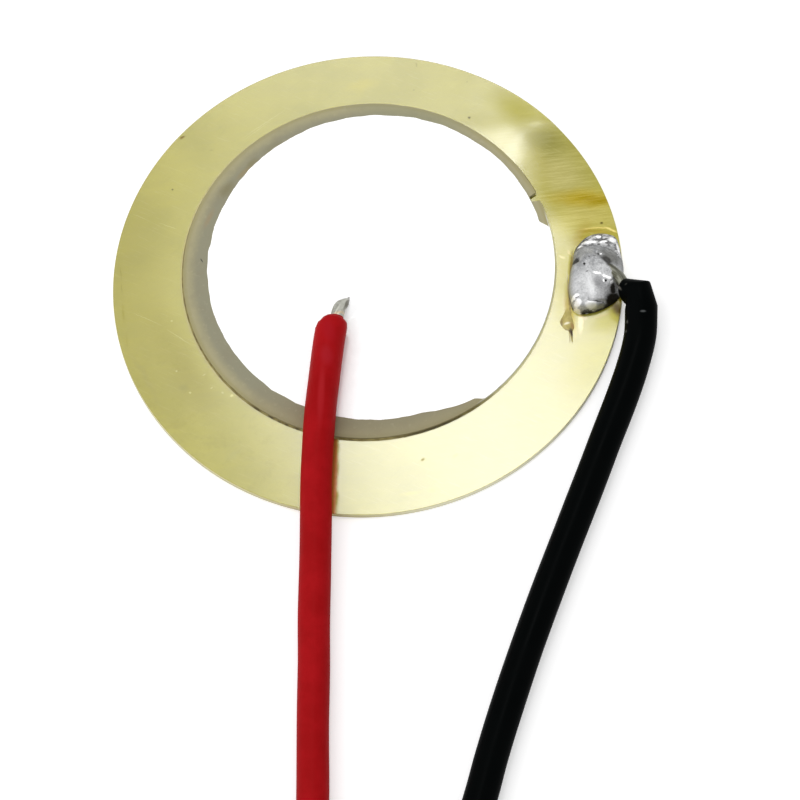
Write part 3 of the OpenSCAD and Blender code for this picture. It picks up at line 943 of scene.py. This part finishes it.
DARK = (0.05, 0.035, 0.005)
OLIVE = (0.15, 0.13, 0.02)
PALE = (0.58, 0.55, 0.21)
SMALL_MARKS = [
    ((-9.0, 9.8), (0.14, 0.07), 20, 0.6, (0.16, 0.10, 0.01), 0.9),
    ((-9.8, 6.72), (0.05, 0.05), 0, 0.5, DARK, 0.8),
    ((-7.5, 8.8), (0.12, 0.03), 0, 0.6, OLIVE, 0.5),
    ((6.46, 8.9), (0.07, 0.06), 0, 0.5, DARK, 0.9), ((3.7, 11.0), (0.04, 0.04), 0, 0.5, OLIVE, 0.5),
    ((6.6, 11.1), (0.05, 0.04), 0, 0.5, OLIVE, 0.6),
    ((4.0, 12.5), (0.04, 0.14), 0, 0.5, OLIVE, 0.5),
    ((12.68, 1.66), (0.09, 0.07), 20, 0.6, DARK, 0.8),
    ((1.75, -10.7), (0.08, 0.08), 0, 0.5, (0.22, 0.18, 0.005), 0.9),
    ((3.45, -10.7), (0.16, 0.08), 30, 0.7, (0.33, 0.29, 0.01), 0.7),
    ((2.05, -12.5), (0.16, 0.12), 0, 0.8, (0.38, 0.33, 0.01), 0.6),
    ((0.9, -12.5), (0.4, 0.10), 0, 0.8, (0.38, 0.33, 0.01), 0.4),
    ((-10.2, -5.0), (0.2, 0.15), 0, 0.7, OLIVE, 0.25),
    ((-12.95, 2.1), (0.025, 0.35), 0, 0.5, (0.19, 0.16, 0.02), 0.6),
    ((-12.98, 1.2), (0.03, 0.25), 0, 0.5, (0.19, 0.16, 0.02), 0.6),
    ((-13.0, -0.3), (0.05, 0.5), 0, 0.6, (0.22, 0.19, 0.02), 0.5),
    ((-12.95, -1.9), (0.03, 0.4), 0, 0.6, (0.22, 0.19, 0.02), 0.5),
    ((-4.6, 10.0), (1.2, 0.018), 30, 0.5, PALE, 0.25),
    ((-4.9, 9.7), (0.9, 0.015), 32, 0.5, PALE, 0.2),
    ((-10.2, 4.55), (0.5, 0.016), -28, 0.5, PALE, 0.35),
    ((-11.6, 5.25), (0.45, 0.014), -33, 0.5, PALE, 0.25),
    ((-11.9, -0.7), (0.7, 0.015), -33, 0.5, PALE, 0.3),
    ((-10.2, -2.05), (0.7, 0.018), -42, 0.5, PALE, 0.35),
    ((-10.5, -1.05), (0.06, 0.04), 0, 0.6, PALE, 0.45),
    ((-10.5, -4.0), (0.045, 0.045), 0, 0.5, PALE, 0.5),
    ((-9.9, -5.33), (0.06, 0.045), 0, 0.5, PALE, 0.55),
    ((-8.75, -5.2), (0.07, 0.04), 30, 0.5, PALE, 0.45),
    ((-8.2, -5.55), (0.07, 0.045), -30, 0.5, PALE, 0.45),
    ((-7.75, -5.78), (0.08, 0.05), 10, 0.5, PALE, 0.6),
    ((-9.05, -4.4), (0.09, 0.035), 20, 0.5, PALE, 0.4),
    ((10.35, -0.06), (0.16, 0.06), -30, 0.8, (0.75, 0.66, 0.32), 0.5),
    ((10.76, 0.15), (0.05, 0.15), 20, 0.8, (0.70, 0.55, 0.22), 0.4),
    ((10.74, -0.75), (0.07, 0.9), -11, 0.5, (0.16, 0.11, 0.03), 0.85),
    ((10.43, -2.4), (0.06, 1.1), -3, 0.5, (0.16, 0.11, 0.03), 0.8),
    # A painted reflection and shadow of the red lead on the brass beside it
    ((-2.88, -11.0), (0.15, 3.0), -7, 0.5, (0.41, 0.125, 0.03), 0.9),
    ((12.3, 1.2), (0.9, 0.12), -10, 0.7, (0.30, 0.21, 0.02), 0.6),
    ((12.05, 1.42), (0.35, 0.04), -3, 0.7, (0.62, 0.50, 0.14), 0.5),
    ((12.65, 1.38), (0.4, 0.045), -10, 0.7, (0.68, 0.55, 0.17), 0.6),
    ((13.15, 1.18), (0.32, 0.055), -34, 0.7, (0.78, 0.66, 0.25), 0.75),
    ((10.84, -3.98), (0.12, 0.5), -9, 0.7, (0.80, 0.62, 0.27), 0.7),
    ((11.1, -3.75), (0.12, 0.12), 0, 0.7, (0.50, 0.38, 0.14), 0.6),
    # Painted shadow at the foot of the joint
    ((12.0, -3.75), (0.5, 0.05), 12, 0.7, (0.45, 0.33, 0.08), 0.5),
    # Dark flux and painted shadow under the black lead's kink
    ((12.86, -3.5), (0.2, 0.42), 20, 0.8, (0.08, 0.045, 0.005), 0.9),
    # More painted shade above the dimple's crease
    ((8.9, 8.9), (1.1, 0.5), -40, 0.9, (0.33, 0.30, 0.035), 0.5),
]
colour = g.paint(colour, fine_wander, SMALL_MARKS)
stains_and_shade = largest(g.spot(fine_wander, *oval) * strength
                  for *oval, shade, strength in SMALL_MARKS if shade[0] < 0.25)

# Handling has scratched it finely
for angle, shade in ((-33, PALE), (38, OLIVE)):
    turned = g.node("ShaderNodeMapping", {
        "Vector": point, "Rotation": (0, 0, math.radians(angle)), "Scale": (1.3, 0.1, 1.0),
    }, vector_type="TEXTURE")
    scratches = g.noise(turned, 1.0, 4.0, 0.75)
    colour = g.mix(g.between(scratches, 0.56, 0.66) * 0.08, colour, shade)

# Tarnish has settled in small clouds, mostly at the near left
tarnish = g.noise(point, 1.6, 5.0, 0.72)
near_left = g.spot(wander, (-8.5, -6.5), (5.0, 6.0), -45, 0.5)
tarnish = g.between(tarnish, 0.5, 0.68) * (0.06 + near_left * 0.22)
colour = g.mix(tarnish, colour, (0.215, 0.18, 0.003))

# A little glue has crept out from under the ceramic on the left
off_centre = g.vector("DISTANCE", [point * (1, 1, 0), (*CERAMIC, 0)], "Value")
crept = g.between(off_centre, 9.95, 10.08, 1.0, 0.0) * g.between(west, -4.0, -7.0)
colour = g.mix(crept * 0.55, colour, (0.30, 0.25, 0.08))

# The blanked edge is fresh metal. Its wall is also painted paler as painted light, and darker
# on the left as painted shade
radius = g.vector("LENGTH", [point * (1, 1, 0)], "Value")
blanked = g.between(radius, 13.47, 13.49)
cut_edge = g.mix(g.between(west, -2.0, 2.5), (0.62, 0.57, 0.27), (0.86, 0.83, 0.58))
colour = g.mix(blanked, colour, cut_edge)

# Soldering burnt the lacquer off on this side of the plate, so the sheet is duller there. The
# list also thins it on the left of the plate, and takes it off under the painted shade past the
# dimple and under the painted reflection of the red lead
BURNT_OFF_AND_SHADE = [
    ((11.7, 4.2), (2.3, 3.9), 14, 0.35, 1.0), ((12.6, 1.0), (1.7, 1.0), 0, 0.6, 1.0),
    ((12.9, -3.6), (0.7, 0.8), 0, 0.6, 1.0), ((10.3, -1.6), (0.5, 2.0), -9, 0.9, 0.35),
    ((10.7, -0.9), (0.2, 1.2), -11, 0.6, 1.0), ((10.42, -2.9), (0.28, 1.2), 0, 0.6, 1.0),
    ((12.25, -4.1), (0.9, 0.6), 15, 0.9, 0.6), ((-2.88, -11.0), (0.18, 3.0), -7, 0.5, 1.0),
    ((-9.0, -8.5), (4.5, 3.0), -42, 0.9, 0.12), ((9.1, 9.1), (1.4, 0.8), -42, 0.9, 0.7),
    ((11.0, -6.4), (1.0, 1.8), -30, 0.9, 0.2), ((-10.0, -3.8), (1.0, 3.2), 22, 0.9, 0.2),
]
burnt_off_and_shade = largest(g.spot(wander, *oval) * strength for *oval, strength in BURNT_OFF_AND_SHADE)
lost_coat = burnt_off_and_shade.maths("MAXIMUM", stains_and_shade) * (0.72 + lines * 0.3)
g.surface(
    base_color=colour, metallic=1.0 - blanked * 0.6,
    roughness=g.between(lines, 0.3, 0.7, 0.46, 0.56),
    normal=g.bump(lines + grain * 0.5, 0.0012),
    coat_weight=1.0 - lost_coat - lines * scored * 0.5,
    coat_roughness=0.135, coat_ior=1.7,
)

# %% [markdown]
# ## Ceramic, glue and silver
#
# Fired PZT is matt and grey-beige, a little warmer towards its rim and cloudy. The glue is a
# brown line at its foot. Fired silver is a metal, but not a shiny one: it is a nearly white matt
# film with a very fine grain, dull grey only where it thins out at its edge.

# %% Ceramic, glue and silver
ceramic, g = material("piezo_ceramic")
point = g.place()
flat = g.vector("SUBTRACT", [point, (*CERAMIC, 0)]) * (1, 1, 0)
radius = g.vector("LENGTH", [flat], "Value")
clouds = g.noise(point, 0.8, 4.0, 0.6)
mottle = g.noise(point, 3.5, 3.0, 0.6)
towards_rim = g.between(radius + mottle * 0.3, 9.15, 9.8)
colour = g.mix(towards_rim, (0.275, 0.263, 0.175), (0.385, 0.35, 0.20))
colour = g.mix(g.between(clouds, 0.45, 0.72) * 0.45, colour, (0.26, 0.235, 0.15))
colour = g.mix(g.between(radius, 9.58, 9.78), colour, (0.35, 0.313, 0.15))
east, north = g.axis(flat, 0), g.axis(flat, 1)
colour = g.mix(g.between(north, -5.5, -8.5) * 0.7, colour, (0.27, 0.235, 0.135))
# The print ran over the rim on the right, so the wall is pale there
rim = g.between(radius, 9.78, 9.82) * g.between(east, 4.5, 6.0) * g.between(north, 2.2, 1.2)
colour = g.mix(rim, colour, (0.86, 0.86, 0.80))
colour = g.mix(g.between(mottle, 0.55, 0.75) * 0.18, colour, (0.47, 0.44, 0.33))
fine = g.shifted(point, 0.05, 6.0)
colour = g.paint(colour, fine, [
    ((-8.6, 2.16), (0.03, 0.12), 20, 0.4, (0.05, 0.05, 0.04), 0.9),
    ((-6.9, 6.2), (0.5, 0.25), 45, 0.8, (0.20, 0.17, 0.07), 0.6),
    ((-5.4, 7.6), (0.35, 0.15), 35, 0.8, (0.22, 0.19, 0.08), 0.6),
    ((-5.9, 7.1), (0.45, 0.12), 38, 0.7, (0.30, 0.22, 0.09), 0.5),
    ((-4.2, 8.4), (0.5, 0.2), 28, 0.8, (0.24, 0.22, 0.12), 0.5),
    ((3.5, 9.3), (3.0, 0.5), -20, 0.8, (0.27, 0.27, 0.165), 0.5),
    ((-8.0, 4.6), (0.12, 0.5), -30, 0.8, (0.34, 0.25, 0.13), 0.5),
])
g.surface(base_color=colour, roughness=g.between(mottle, 0.3, 0.7, 0.5, 0.65),
          normal=g.bump(mottle, 0.004), specular_ior_level=0.35)

glue, g = material("adhesive")
point = g.place()
lumps = g.noise(point, 2.2, 4.0, 0.6)
colour = g.mix(g.between(lumps, 0.35, 0.65), (0.17, 0.13, 0.035), (0.33, 0.28, 0.10))
east, north = g.axis(point, 0), g.axis(point, 1)
# It is dark where it was squeezed out thick, at the near left; the wide spot at the front is
# painted shade at the ceramic's foot
for at, size in [((-6.56, -6.81), 0.2), ((-5.86, -7.36), 0.15), ((-5.47, -7.67), 0.12),
                 ((-5.07, -7.88), 0.1), ((-4.54, -8.2), 0.12), ((2.5, -9.1), 1.5)]:
    colour = g.mix(g.spot(point, at, (size, size), 0, 0.6) * 0.8, colour, (0.05, 0.035, 0.006))
# On the right the glue is painted pale: painted light over the shade of the ceramic's wall
colour = g.mix(g.between(east + north * 0.3, 2.0, 5.0) * g.between(north, 4.0, 2.0), colour,
               (0.86, 0.82, 0.46))
g.surface(base_color=colour, roughness=g.between(lumps, 0.3, 0.7, 0.35, 0.6),
          normal=g.bump(lumps, 0.01))

edge_silver, g = material("fired_silver_edge")
g.surface(base_color=(0.42, 0.40, 0.27), roughness=0.6)

silver, g = material("fired_silver")
point = g.place()
grain = g.noise(point, 14.0, 3.0, 0.6)
clouds = g.noise(point, 0.35, 3.0, 0.5)
colour = g.mix(g.between(clouds, 0.35, 0.7), (0.95, 0.95, 0.95), (0.98, 0.98, 0.975))
colour = g.mix(g.between(grain, 0.5, 0.8) * 0.25, colour, (0.93, 0.93, 0.925))
g.surface(base_color=colour, roughness=g.between(grain, 0.3, 0.7, 0.55, 0.7),
          normal=g.bump(grain, 0.002), metallic=0.8, specular_ior_level=0.5)

# %% [markdown]
# ## Solder, flux and tinned wire
#
# Solder is a grey metal. Its highlights are painted on as white spots, its near half is painted
# lighter, and painted shade darkens its dent and the crease at its drop's edge. Burnt flux, with
# painted shade over it, sits in its pits, along its grooves and under the black lead, so those
# places are nearly black and dull.
# The silver's joint is a brighter, flatter solder.

# %% Solder, flux and tinned wire
solder, g = material("solder")
point = g.place()
fine = g.shifted(point, 0.06, 8.0)
grain = g.noise(point, 7.0, 4.0, 0.6)
clouds = g.noise(point, 1.8, 3.0, 0.6)
colour = g.mix(g.between(clouds, 0.35, 0.65), (0.29, 0.295, 0.30), (0.48, 0.485, 0.49))
colour = g.mix(g.between(grain, 0.48, 0.66) * 0.45, colour, (0.19, 0.195, 0.20))
# The near half of the joint is painted lighter: painted light on its front slopes
lower = g.axis(fine, 1)
colour = g.mix(g.between(lower, -1.0, -1.8) * 0.75, colour, (0.55, 0.555, 0.56))
flecks = g.noise(point, 11.0, 3.0, 0.7)
colour = g.mix(g.between(flecks, 0.5, 0.68) * 0.4, colour, (0.17, 0.17, 0.17))
colour = g.mix(g.between(flecks, 0.46, 0.32) * 0.35, colour, (0.80, 0.80, 0.80))
# Painted shade in the dent and at the crease of the drop's edge, dark flux with painted shade in
# the groove, and a painted highlight on the ridge at the left
colour = g.paint(colour, fine, [
    ((12.05, -2.3), (0.3, 0.38), 20, 0.8, (0.20, 0.20, 0.205), 0.75),
    ((12.9, -0.75), (0.6, 0.42), -50, 0.8, (0.17, 0.17, 0.155), 0.75),
    ((11.54, -2.35), (0.2, 0.6), 4, 0.8, (0.85, 0.855, 0.86), 0.7),
    ((11.1, 0.3), (0.3, 0.16), 42, 0.8, (0.10, 0.09, 0.06), 0.85),
])

# The thin flow is crumpled like foil, and its folds are painted light and dark, as painted
# highlights and shade
THIN_FLOW = [((11.85, 0.52), (0.6, 0.3), 30, 0.25), ((12.6, 0.5), (0.75, 0.38), -8, 0.25),
             ((13.3, -0.25), (0.16, 0.5), 5, 0.25)]
thin_flow = largest(g.spot(point, *oval) for oval in THIN_FLOW)
folds = g.noise(g.stretched(point, (1.0, 2.2, 1.0)), 3.2, 3.0, 0.6)
colour = g.mix(thin_flow, colour, g.mix(g.between(folds, 0.43, 0.55), (0.16, 0.16, 0.16),
                                        (0.62, 0.62, 0.62)))

# Burnt flux, darkened further as painted shade, sits round the foot, in the pits and in the
# grooves, and under the lead
foot, rim_side = g.axis(fine, 2), g.axis(fine, 0)
at_foot = g.between(foot, 0.40, 0.55, 0.95, 0.0) * g.between(rim_side, 13.2, 12.9)
front = g.between(lower, -3.2, -3.42) * g.between(foot, 0.42, 0.62, 0.9, 0.0)
at_foot = at_foot.maths("MAXIMUM", front)
colour = g.mix(at_foot, colour, (0.03, 0.024, 0.012))

# Painted highlights: white spots on the lobes and on the crumpled flow
PAINTED_HIGHLIGHTS = [
    ((10.70, -2.86), (0.22, 0.13), 5, 0.25), ((10.80, -3.2), (0.2, 0.16), 15, 0.25),
    ((10.68, -3.42), (0.27, 0.08), -32, 0.25), ((11.48, -3.33), (0.3, 0.15), 0, 0.3),
    ((11.24, -3.58), (0.2, 0.04), 0, 0.3), ((12.0, -1.72), (0.2, 0.07), -18, 0.5),
    ((12.42, -1.98), (0.2, 0.06), -30, 0.35), ((12.62, -2.1), (0.12, 0.05), -20, 0.3),
    ((12.29, -2.2), (0.05, 0.08), 0, 0.5), ((12.7, -2.3), (0.10, 0.06), 40, 0.3),
    ((11.88, 0.36), (0.42, 0.085), -4, 0.25), ((12.38, 0.66), (0.15, 0.09), -20, 0.25),
    ((12.62, 0.3), (0.22, 0.055), 5, 0.3), ((13.1, 0.36), (0.2, 0.14), -20, 0.4),
    ((13.33, -0.15), (0.06, 0.3), 5, 0.4), ((11.3, 0.2), (0.12, 0.05), 25, 0.4),
    ((12.36, -0.56), (0.06, 0.04), -20, 0.4),
]
bright = largest(g.spot(fine, *oval) for oval in PAINTED_HIGHLIGHTS) * g.between(grain, 0.3, 0.5, 0.85, 1.0)
colour = g.mix(bright, colour, (1.0, 1.0, 1.0))
# Burnt flux with painted shade in the pits, grooves and creases and under the lead
FLUX_AND_SHADE = [
    ((11.0, -0.76), (0.22, 0.17), 40, 0.35, 0.9), ((11.41, -1.11), (0.06, 0.08), 0, 0.4, 0.85),
    ((11.49, -1.56), (0.06, 0.04), 0, 0.6, 0.5), ((11.72, -0.7), (0.05, 0.04), 0, 0.6, 0.5),
    ((11.98, -0.7), (0.05, 0.05), 0, 0.6, 0.4), ((12.41, -2.2), (0.045, 0.06), 0, 0.4, 0.95),
    ((10.79, -2.94), (0.09, 0.03), 15, 0.4, 0.95), ((11.25, 0.02), (0.2, 0.04), 22, 0.5, 0.9),
    ((11.75, 0.14), (0.35, 0.035), 6, 0.6, 0.8), ((12.34, 0.18), (0.09, 0.06), 0, 0.5, 0.7),
    ((12.85, 0.06), (0.1, 0.04), 0, 0.5, 0.7), ((12.23, -0.53), (0.05, 0.09), 20, 0.5, 0.8),
    ((12.62, -0.95), (0.32, 0.17), -48, 0.45, 0.8), ((12.7, -1.25), (0.2, 0.13), -50, 0.6, 0.75),
    ((12.9, -1.5), (0.2, 0.08), -40, 0.5, 0.7),
    ((12.72, -2.6), (0.14, 0.3), -10, 0.35, 0.98), ((12.72, -3.08), (0.48, 0.28), 22, 0.25, 1.0),
    ((11.8, -3.22), (0.36, 0.026), -6, 0.5, 0.95), ((11.25, -3.52), (0.3, 0.04), 0, 0.4, 0.85),
    ((11.9, -3.52), (0.5, 0.07), 15, 0.5, 0.9), ((12.4, -3.36), (0.3, 0.16), 25, 0.4, 0.95),
    ((11.6, 0.62), (0.3, 0.04), 42, 0.5, 0.8), ((11.22, 0.28), (0.18, 0.06), 36, 0.6, 0.8),
]
darkened = largest(g.spot(fine, *oval) * strength for *oval, strength in FLUX_AND_SHADE)
colour = g.mix(darkened, colour, (0.012, 0.010, 0.006))
dull = darkened.maths("MAXIMUM", at_foot * (1.0 - bright))
g.surface(base_color=colour, metallic=1.0 - dull * 0.9,
          roughness=g.between(grain, 0.3, 0.7, 0.5, 0.62),
          normal=g.bump(grain + flecks * 0.5 + folds * thin_flow * 2.0, 0.026),
          specular_ior_level=0.12)

bright_solder, g = material("bright_solder")
point = g.place()
grain = g.noise(point, 6.0, 3.0, 0.6)
g.surface(base_color=(0.98, 0.98, 0.98), metallic=0.9,
          roughness=g.between(grain, 0.3, 0.7, 0.45, 0.6), normal=g.bump(grain, 0.004))

flux, g = material("flux")
point = g.place()
clouds = g.noise(point, 4.0, 3.0, 0.6)
colour = g.mix(g.between(clouds, 0.35, 0.65), (0.44, 0.355, 0.075), (0.55, 0.455, 0.12))
fine = g.shifted(point, 0.04, 7.0)
colour = g.paint(colour, fine, [
    ((9.82, -3.95), (0.07, 0.3), -15, 0.6, (0.22, 0.15, 0.03), 0.8),
    ((10.05, -4.35), (0.22, 0.06), -20, 0.6, (0.22, 0.14, 0.03), 0.8),
    ((10.38, -4.15), (0.09, 0.2), 10, 0.6, (0.36, 0.19, 0.03), 0.8),
    # A painted highlight in the middle of the drop
    ((10.12, -3.98), (0.14, 0.06), 10, 0.6, (0.92, 0.86, 0.62), 0.9),
    ((10.2, -5.05), (0.09, 0.3), 8, 0.6, (0.42, 0.33, 0.10), 0.6),
])
darkened = g.spot(fine, (10.29, -4.52), (0.09, 0.25), 6, 0.6)
colour = g.mix(darkened, colour, (0.05, 0.022, 0.004))
g.surface(base_color=colour, roughness=g.between(clouds, 0.3, 0.7, 0.12, 0.25),
          normal=g.bump(clouds, 0.01), coat_weight=0.6 - darkened * 0.6, coat_roughness=0.1)

tinned, g = material("tinned_copper")
point = g.place()
grain = g.noise(point, 8.0, 3.0, 0.6)
colour = g.mix(g.between(grain, 0.35, 0.65), (0.31, 0.31, 0.265), (0.46, 0.46, 0.41))
# The red lead's tip has a painted highlight down its middle and painted shade along its right
# side; it is also darker at its point, and tan where it leaves the insulation
colour = g.paint(colour, point, [
    ((-1.42, -1.95), (0.13, 0.55), -35, (0.54, 0.54, 0.48), 0.6),
    ((-1.18, -1.78), (0.07, 0.42), -24, (0.12, 0.115, 0.09), 0.85),
    ((-1.08, -1.22), (0.12, 0.14), 0, (0.06, 0.055, 0.04), 0.85),
    ((-1.6, -2.43), (0.4, 0.07), 8, (0.55, 0.43, 0.28), 0.7),
])
g.surface(base_color=colour, metallic=1.0, roughness=g.between(grain, 0.3, 0.7, 0.3, 0.45),
          normal=g.bump(grain, 0.008))

fluxed, g = material("fluxed_strands")
along = g.node("ShaderNodeUVMap", uv_map="along")
streaks = g.noise(g.stretched(along, (0.8, 9.0, 1.0)), 1.0, 3.0, 0.6)
colour = g.mix(g.between(streaks, 0.38, 0.62), (0.07, 0.07, 0.045), (0.28, 0.28, 0.23))
g.surface(base_color=colour, metallic=0.7, roughness=g.between(streaks, 0.3, 0.7, 0.3, 0.45),
          normal=g.bump(streaks, 0.02))

# %% [markdown]
# ## The PVC
#
# Both leads are extruded PVC. The red is satin and the black is glossy. Extrusion leaves faint
# lines along the lead and handling leaves dull patches, so the patterns follow the UV map of the
# tube, which counts millimetres along it.

# %% The PVC
def pvc(name, dark, light, roughness, specular, drawn_lines, scuffs_and_glints=()):
    made, g = material(name)
    along = g.node("ShaderNodeUVMap", uv_map="along")
    lines = g.noise(g.stretched(along, (0.25, 22.0, 1.0)), 1.0, 2.0, 0.5)
    point = g.place()
    patches = g.noise(point, 0.5, 4.0, 0.6)
    grain = g.noise(point, 5.0, 3.0, 0.6)
    colour = g.mix(g.between(patches, 0.3, 0.7), dark, light)
    colour = g.mix(g.between(grain, 0.5, 0.7) * 0.3, colour, dark)
    for at, size, turn, shade in scuffs_and_glints:
        colour = g.mix(g.spot(point, at, size, turn, 0.6), colour, shade)
    g.surface(base_color=colour, specular_ior_level=specular,
              roughness=g.between(patches, 0.3, 0.7, roughness, roughness + 0.12),
              normal=g.bump(lines * drawn_lines + grain * 0.4, 0.006))
    return made


red_pvc = pvc("red_pvc", (0.315, 0.0025, 0.004), (0.39, 0.005, 0.008), 0.42, 0.045, 0.6,
              scuffs_and_glints=[((-2.3, -3.6), (0.3, 0.6), 10, (0.37, 0.006, 0.011)),
                      ((-2.55, -5.0), (0.3, 0.5), 0, (0.37, 0.009, 0.015)),
                      ((-3.05, -7.2), (0.16, 1.5), -8, (0.38, 0.009, 0.013))])
black_pvc = pvc("black_pvc", (0.0004, 0.0009, 0.0009), (0.0007, 0.0012, 0.0012), 0.28, 0.016, 0.15,
                # The first three are painted highlights: a glint on top and two along its left edge
                scuffs_and_glints=[((14.04, -4.54), (0.13, 0.05), -5, (0.075, 0.08, 0.08)),
                        ((13.18, -4.82), (0.04, 0.09), 0, (0.06, 0.06, 0.055)),
                        ((13.05, -5.3), (0.04, 0.07), 0, (0.06, 0.06, 0.055)),
                        ((13.37, -2.88), (0.07, 0.04), 30, (0.03, 0.03, 0.025)),
                        ((12.98, -2.9), (0.05, 0.2), 30, (0.10, 0.095, 0.08))])

# %% [markdown]
# ## Dressing the pieces
#
# Each piece gets its material, rides on the one body, and hides the solids it stands for.

# %% Dressing the pieces
def dress(thing, finish, slot, *nodes):
    thing.data.materials.clear()
    thing.data.materials.append(finish)
    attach(thing, "root")
    if nodes:
        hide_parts(*nodes)


dress(brass_disc, brass, "brass", "brass_plate")
dress(ceramic_body, ceramic, "piezo_ceramic", "ceramic_disc")
dress(silver_print, silver, "fired_silver", "upper_electrode")
dress(rim_solder, solder, "solder", "rim_solder_joint")
dress(centre_solder, bright_solder, "solder", "centre_solder_joint")
dress(flux_drop, flux, "flux", "flux_residue")
dress(red_tip, tinned, "tinned_copper", "red_conductor")
dress(black_strands, fluxed, "tinned_copper", "black_conductor")
dress(red_free_end, tinned, "tinned_copper", "red_stripped_end")
dress(black_free_end, tinned, "tinned_copper", "black_stripped_end")
dress(red_insulation, red_pvc, "red_insulation", "red_lead", "red_lead_coil")
dress(black_insulation, black_pvc, "black_insulation", "black_lead", "black_lead_coil")
for node, finish in (("adhesive", glue), ("lower_electrode", edge_silver)):
    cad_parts[node].data.materials.clear()
    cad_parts[node].data.materials.append(finish)

# %% [markdown]
# ## The floor and the light
#
# A plain pale floor, an even bright surround, one soft lamp from the left for shape, and a panel
# over the back that the lacquer on the brass mirrors as a soft sheen. The surround is dimmer for
# the light it casts than for how it looks, so that white stays white without being burnt out.

# %% The floor and the light
FLOOR_GLOW = 0.36
SURROUND_CAST, SURROUND_SEEN = 0.73, 1.0

bpy.ops.mesh.primitive_plane_add(size=3.0, location=(0, 0, -0.01 * MM))
floor = bpy.context.object
floor.name = "floor"
paper, g = material("floor_paper")
point = g.place()
fibres = g.noise(point, 0.4, 3.0, 0.5)
base = g.mix(fibres, (0.87, 0.87, 0.87), (0.88, 0.88, 0.88))
camera_ray = g.node("ShaderNodeLightPath", output="Is Camera Ray")
lit = g.node("ShaderNodeBsdfDiffuse", [base])
glow = g.node("ShaderNodeEmission", [(1, 1, 1, 1), camera_ray * FLOOR_GLOW])
both = g.node("ShaderNodeAddShader", [lit, glow])
g.node("ShaderNodeOutputMaterial", [both])
floor.data.materials.append(paper)

world = bpy.data.worlds.new("surround")
bpy.context.scene.world = world
g = Graph(world)
seen = largest(g.node("ShaderNodeLightPath", output=kind)
               for kind in ("Is Camera Ray", "Is Glossy Ray", "Is Transmission Ray"))
strength = SURROUND_CAST + seen * (SURROUND_SEEN - SURROUND_CAST)
surround = g.node("ShaderNodeBackground", [(1, 1, 1, 1), strength])
g.node("ShaderNodeOutputWorld", [surround])


def panel(name, at, aim, length_along, size, power):
    """A soft rectangular lamp that faces a place, with its length along a direction. Places are
    in metres and the power is in watts."""
    bpy.ops.object.light_add(type="AREA")
    lamp = bpy.context.object
    lamp.name = name
    lamp.data.shape = "RECTANGLE"
    lamp.data.size, lamp.data.size_y = size
    lamp.data.energy = power
    back = (Vector(at) - Vector(aim)).normalized()
    across = Vector(length_along).cross(back).normalized()
    turned = Matrix((across, back.cross(across), back)).transposed().to_4x4()
    lamp.matrix_world = Matrix.Translation(Vector(at)) @ turned
    return lamp


panel("key", (-0.45, -0.05, 0.55), (0, 0, 0), (0, 1, 0), (0.85, 0.85), 1.7)
panel("sheen", (0.036, 0.412, 1.0), (0.036, 0.412, 0), (-0.352, 1, 0), (0.112, 0.235), 0.95)
panel("far sheen", (0.0, 0.61, 1.0), (0.0, 0.61, 0), (0, 1, 0), (0.14, 0.07), 0.19)

bpy.context.scene.view_settings.view_transform = "Standard"
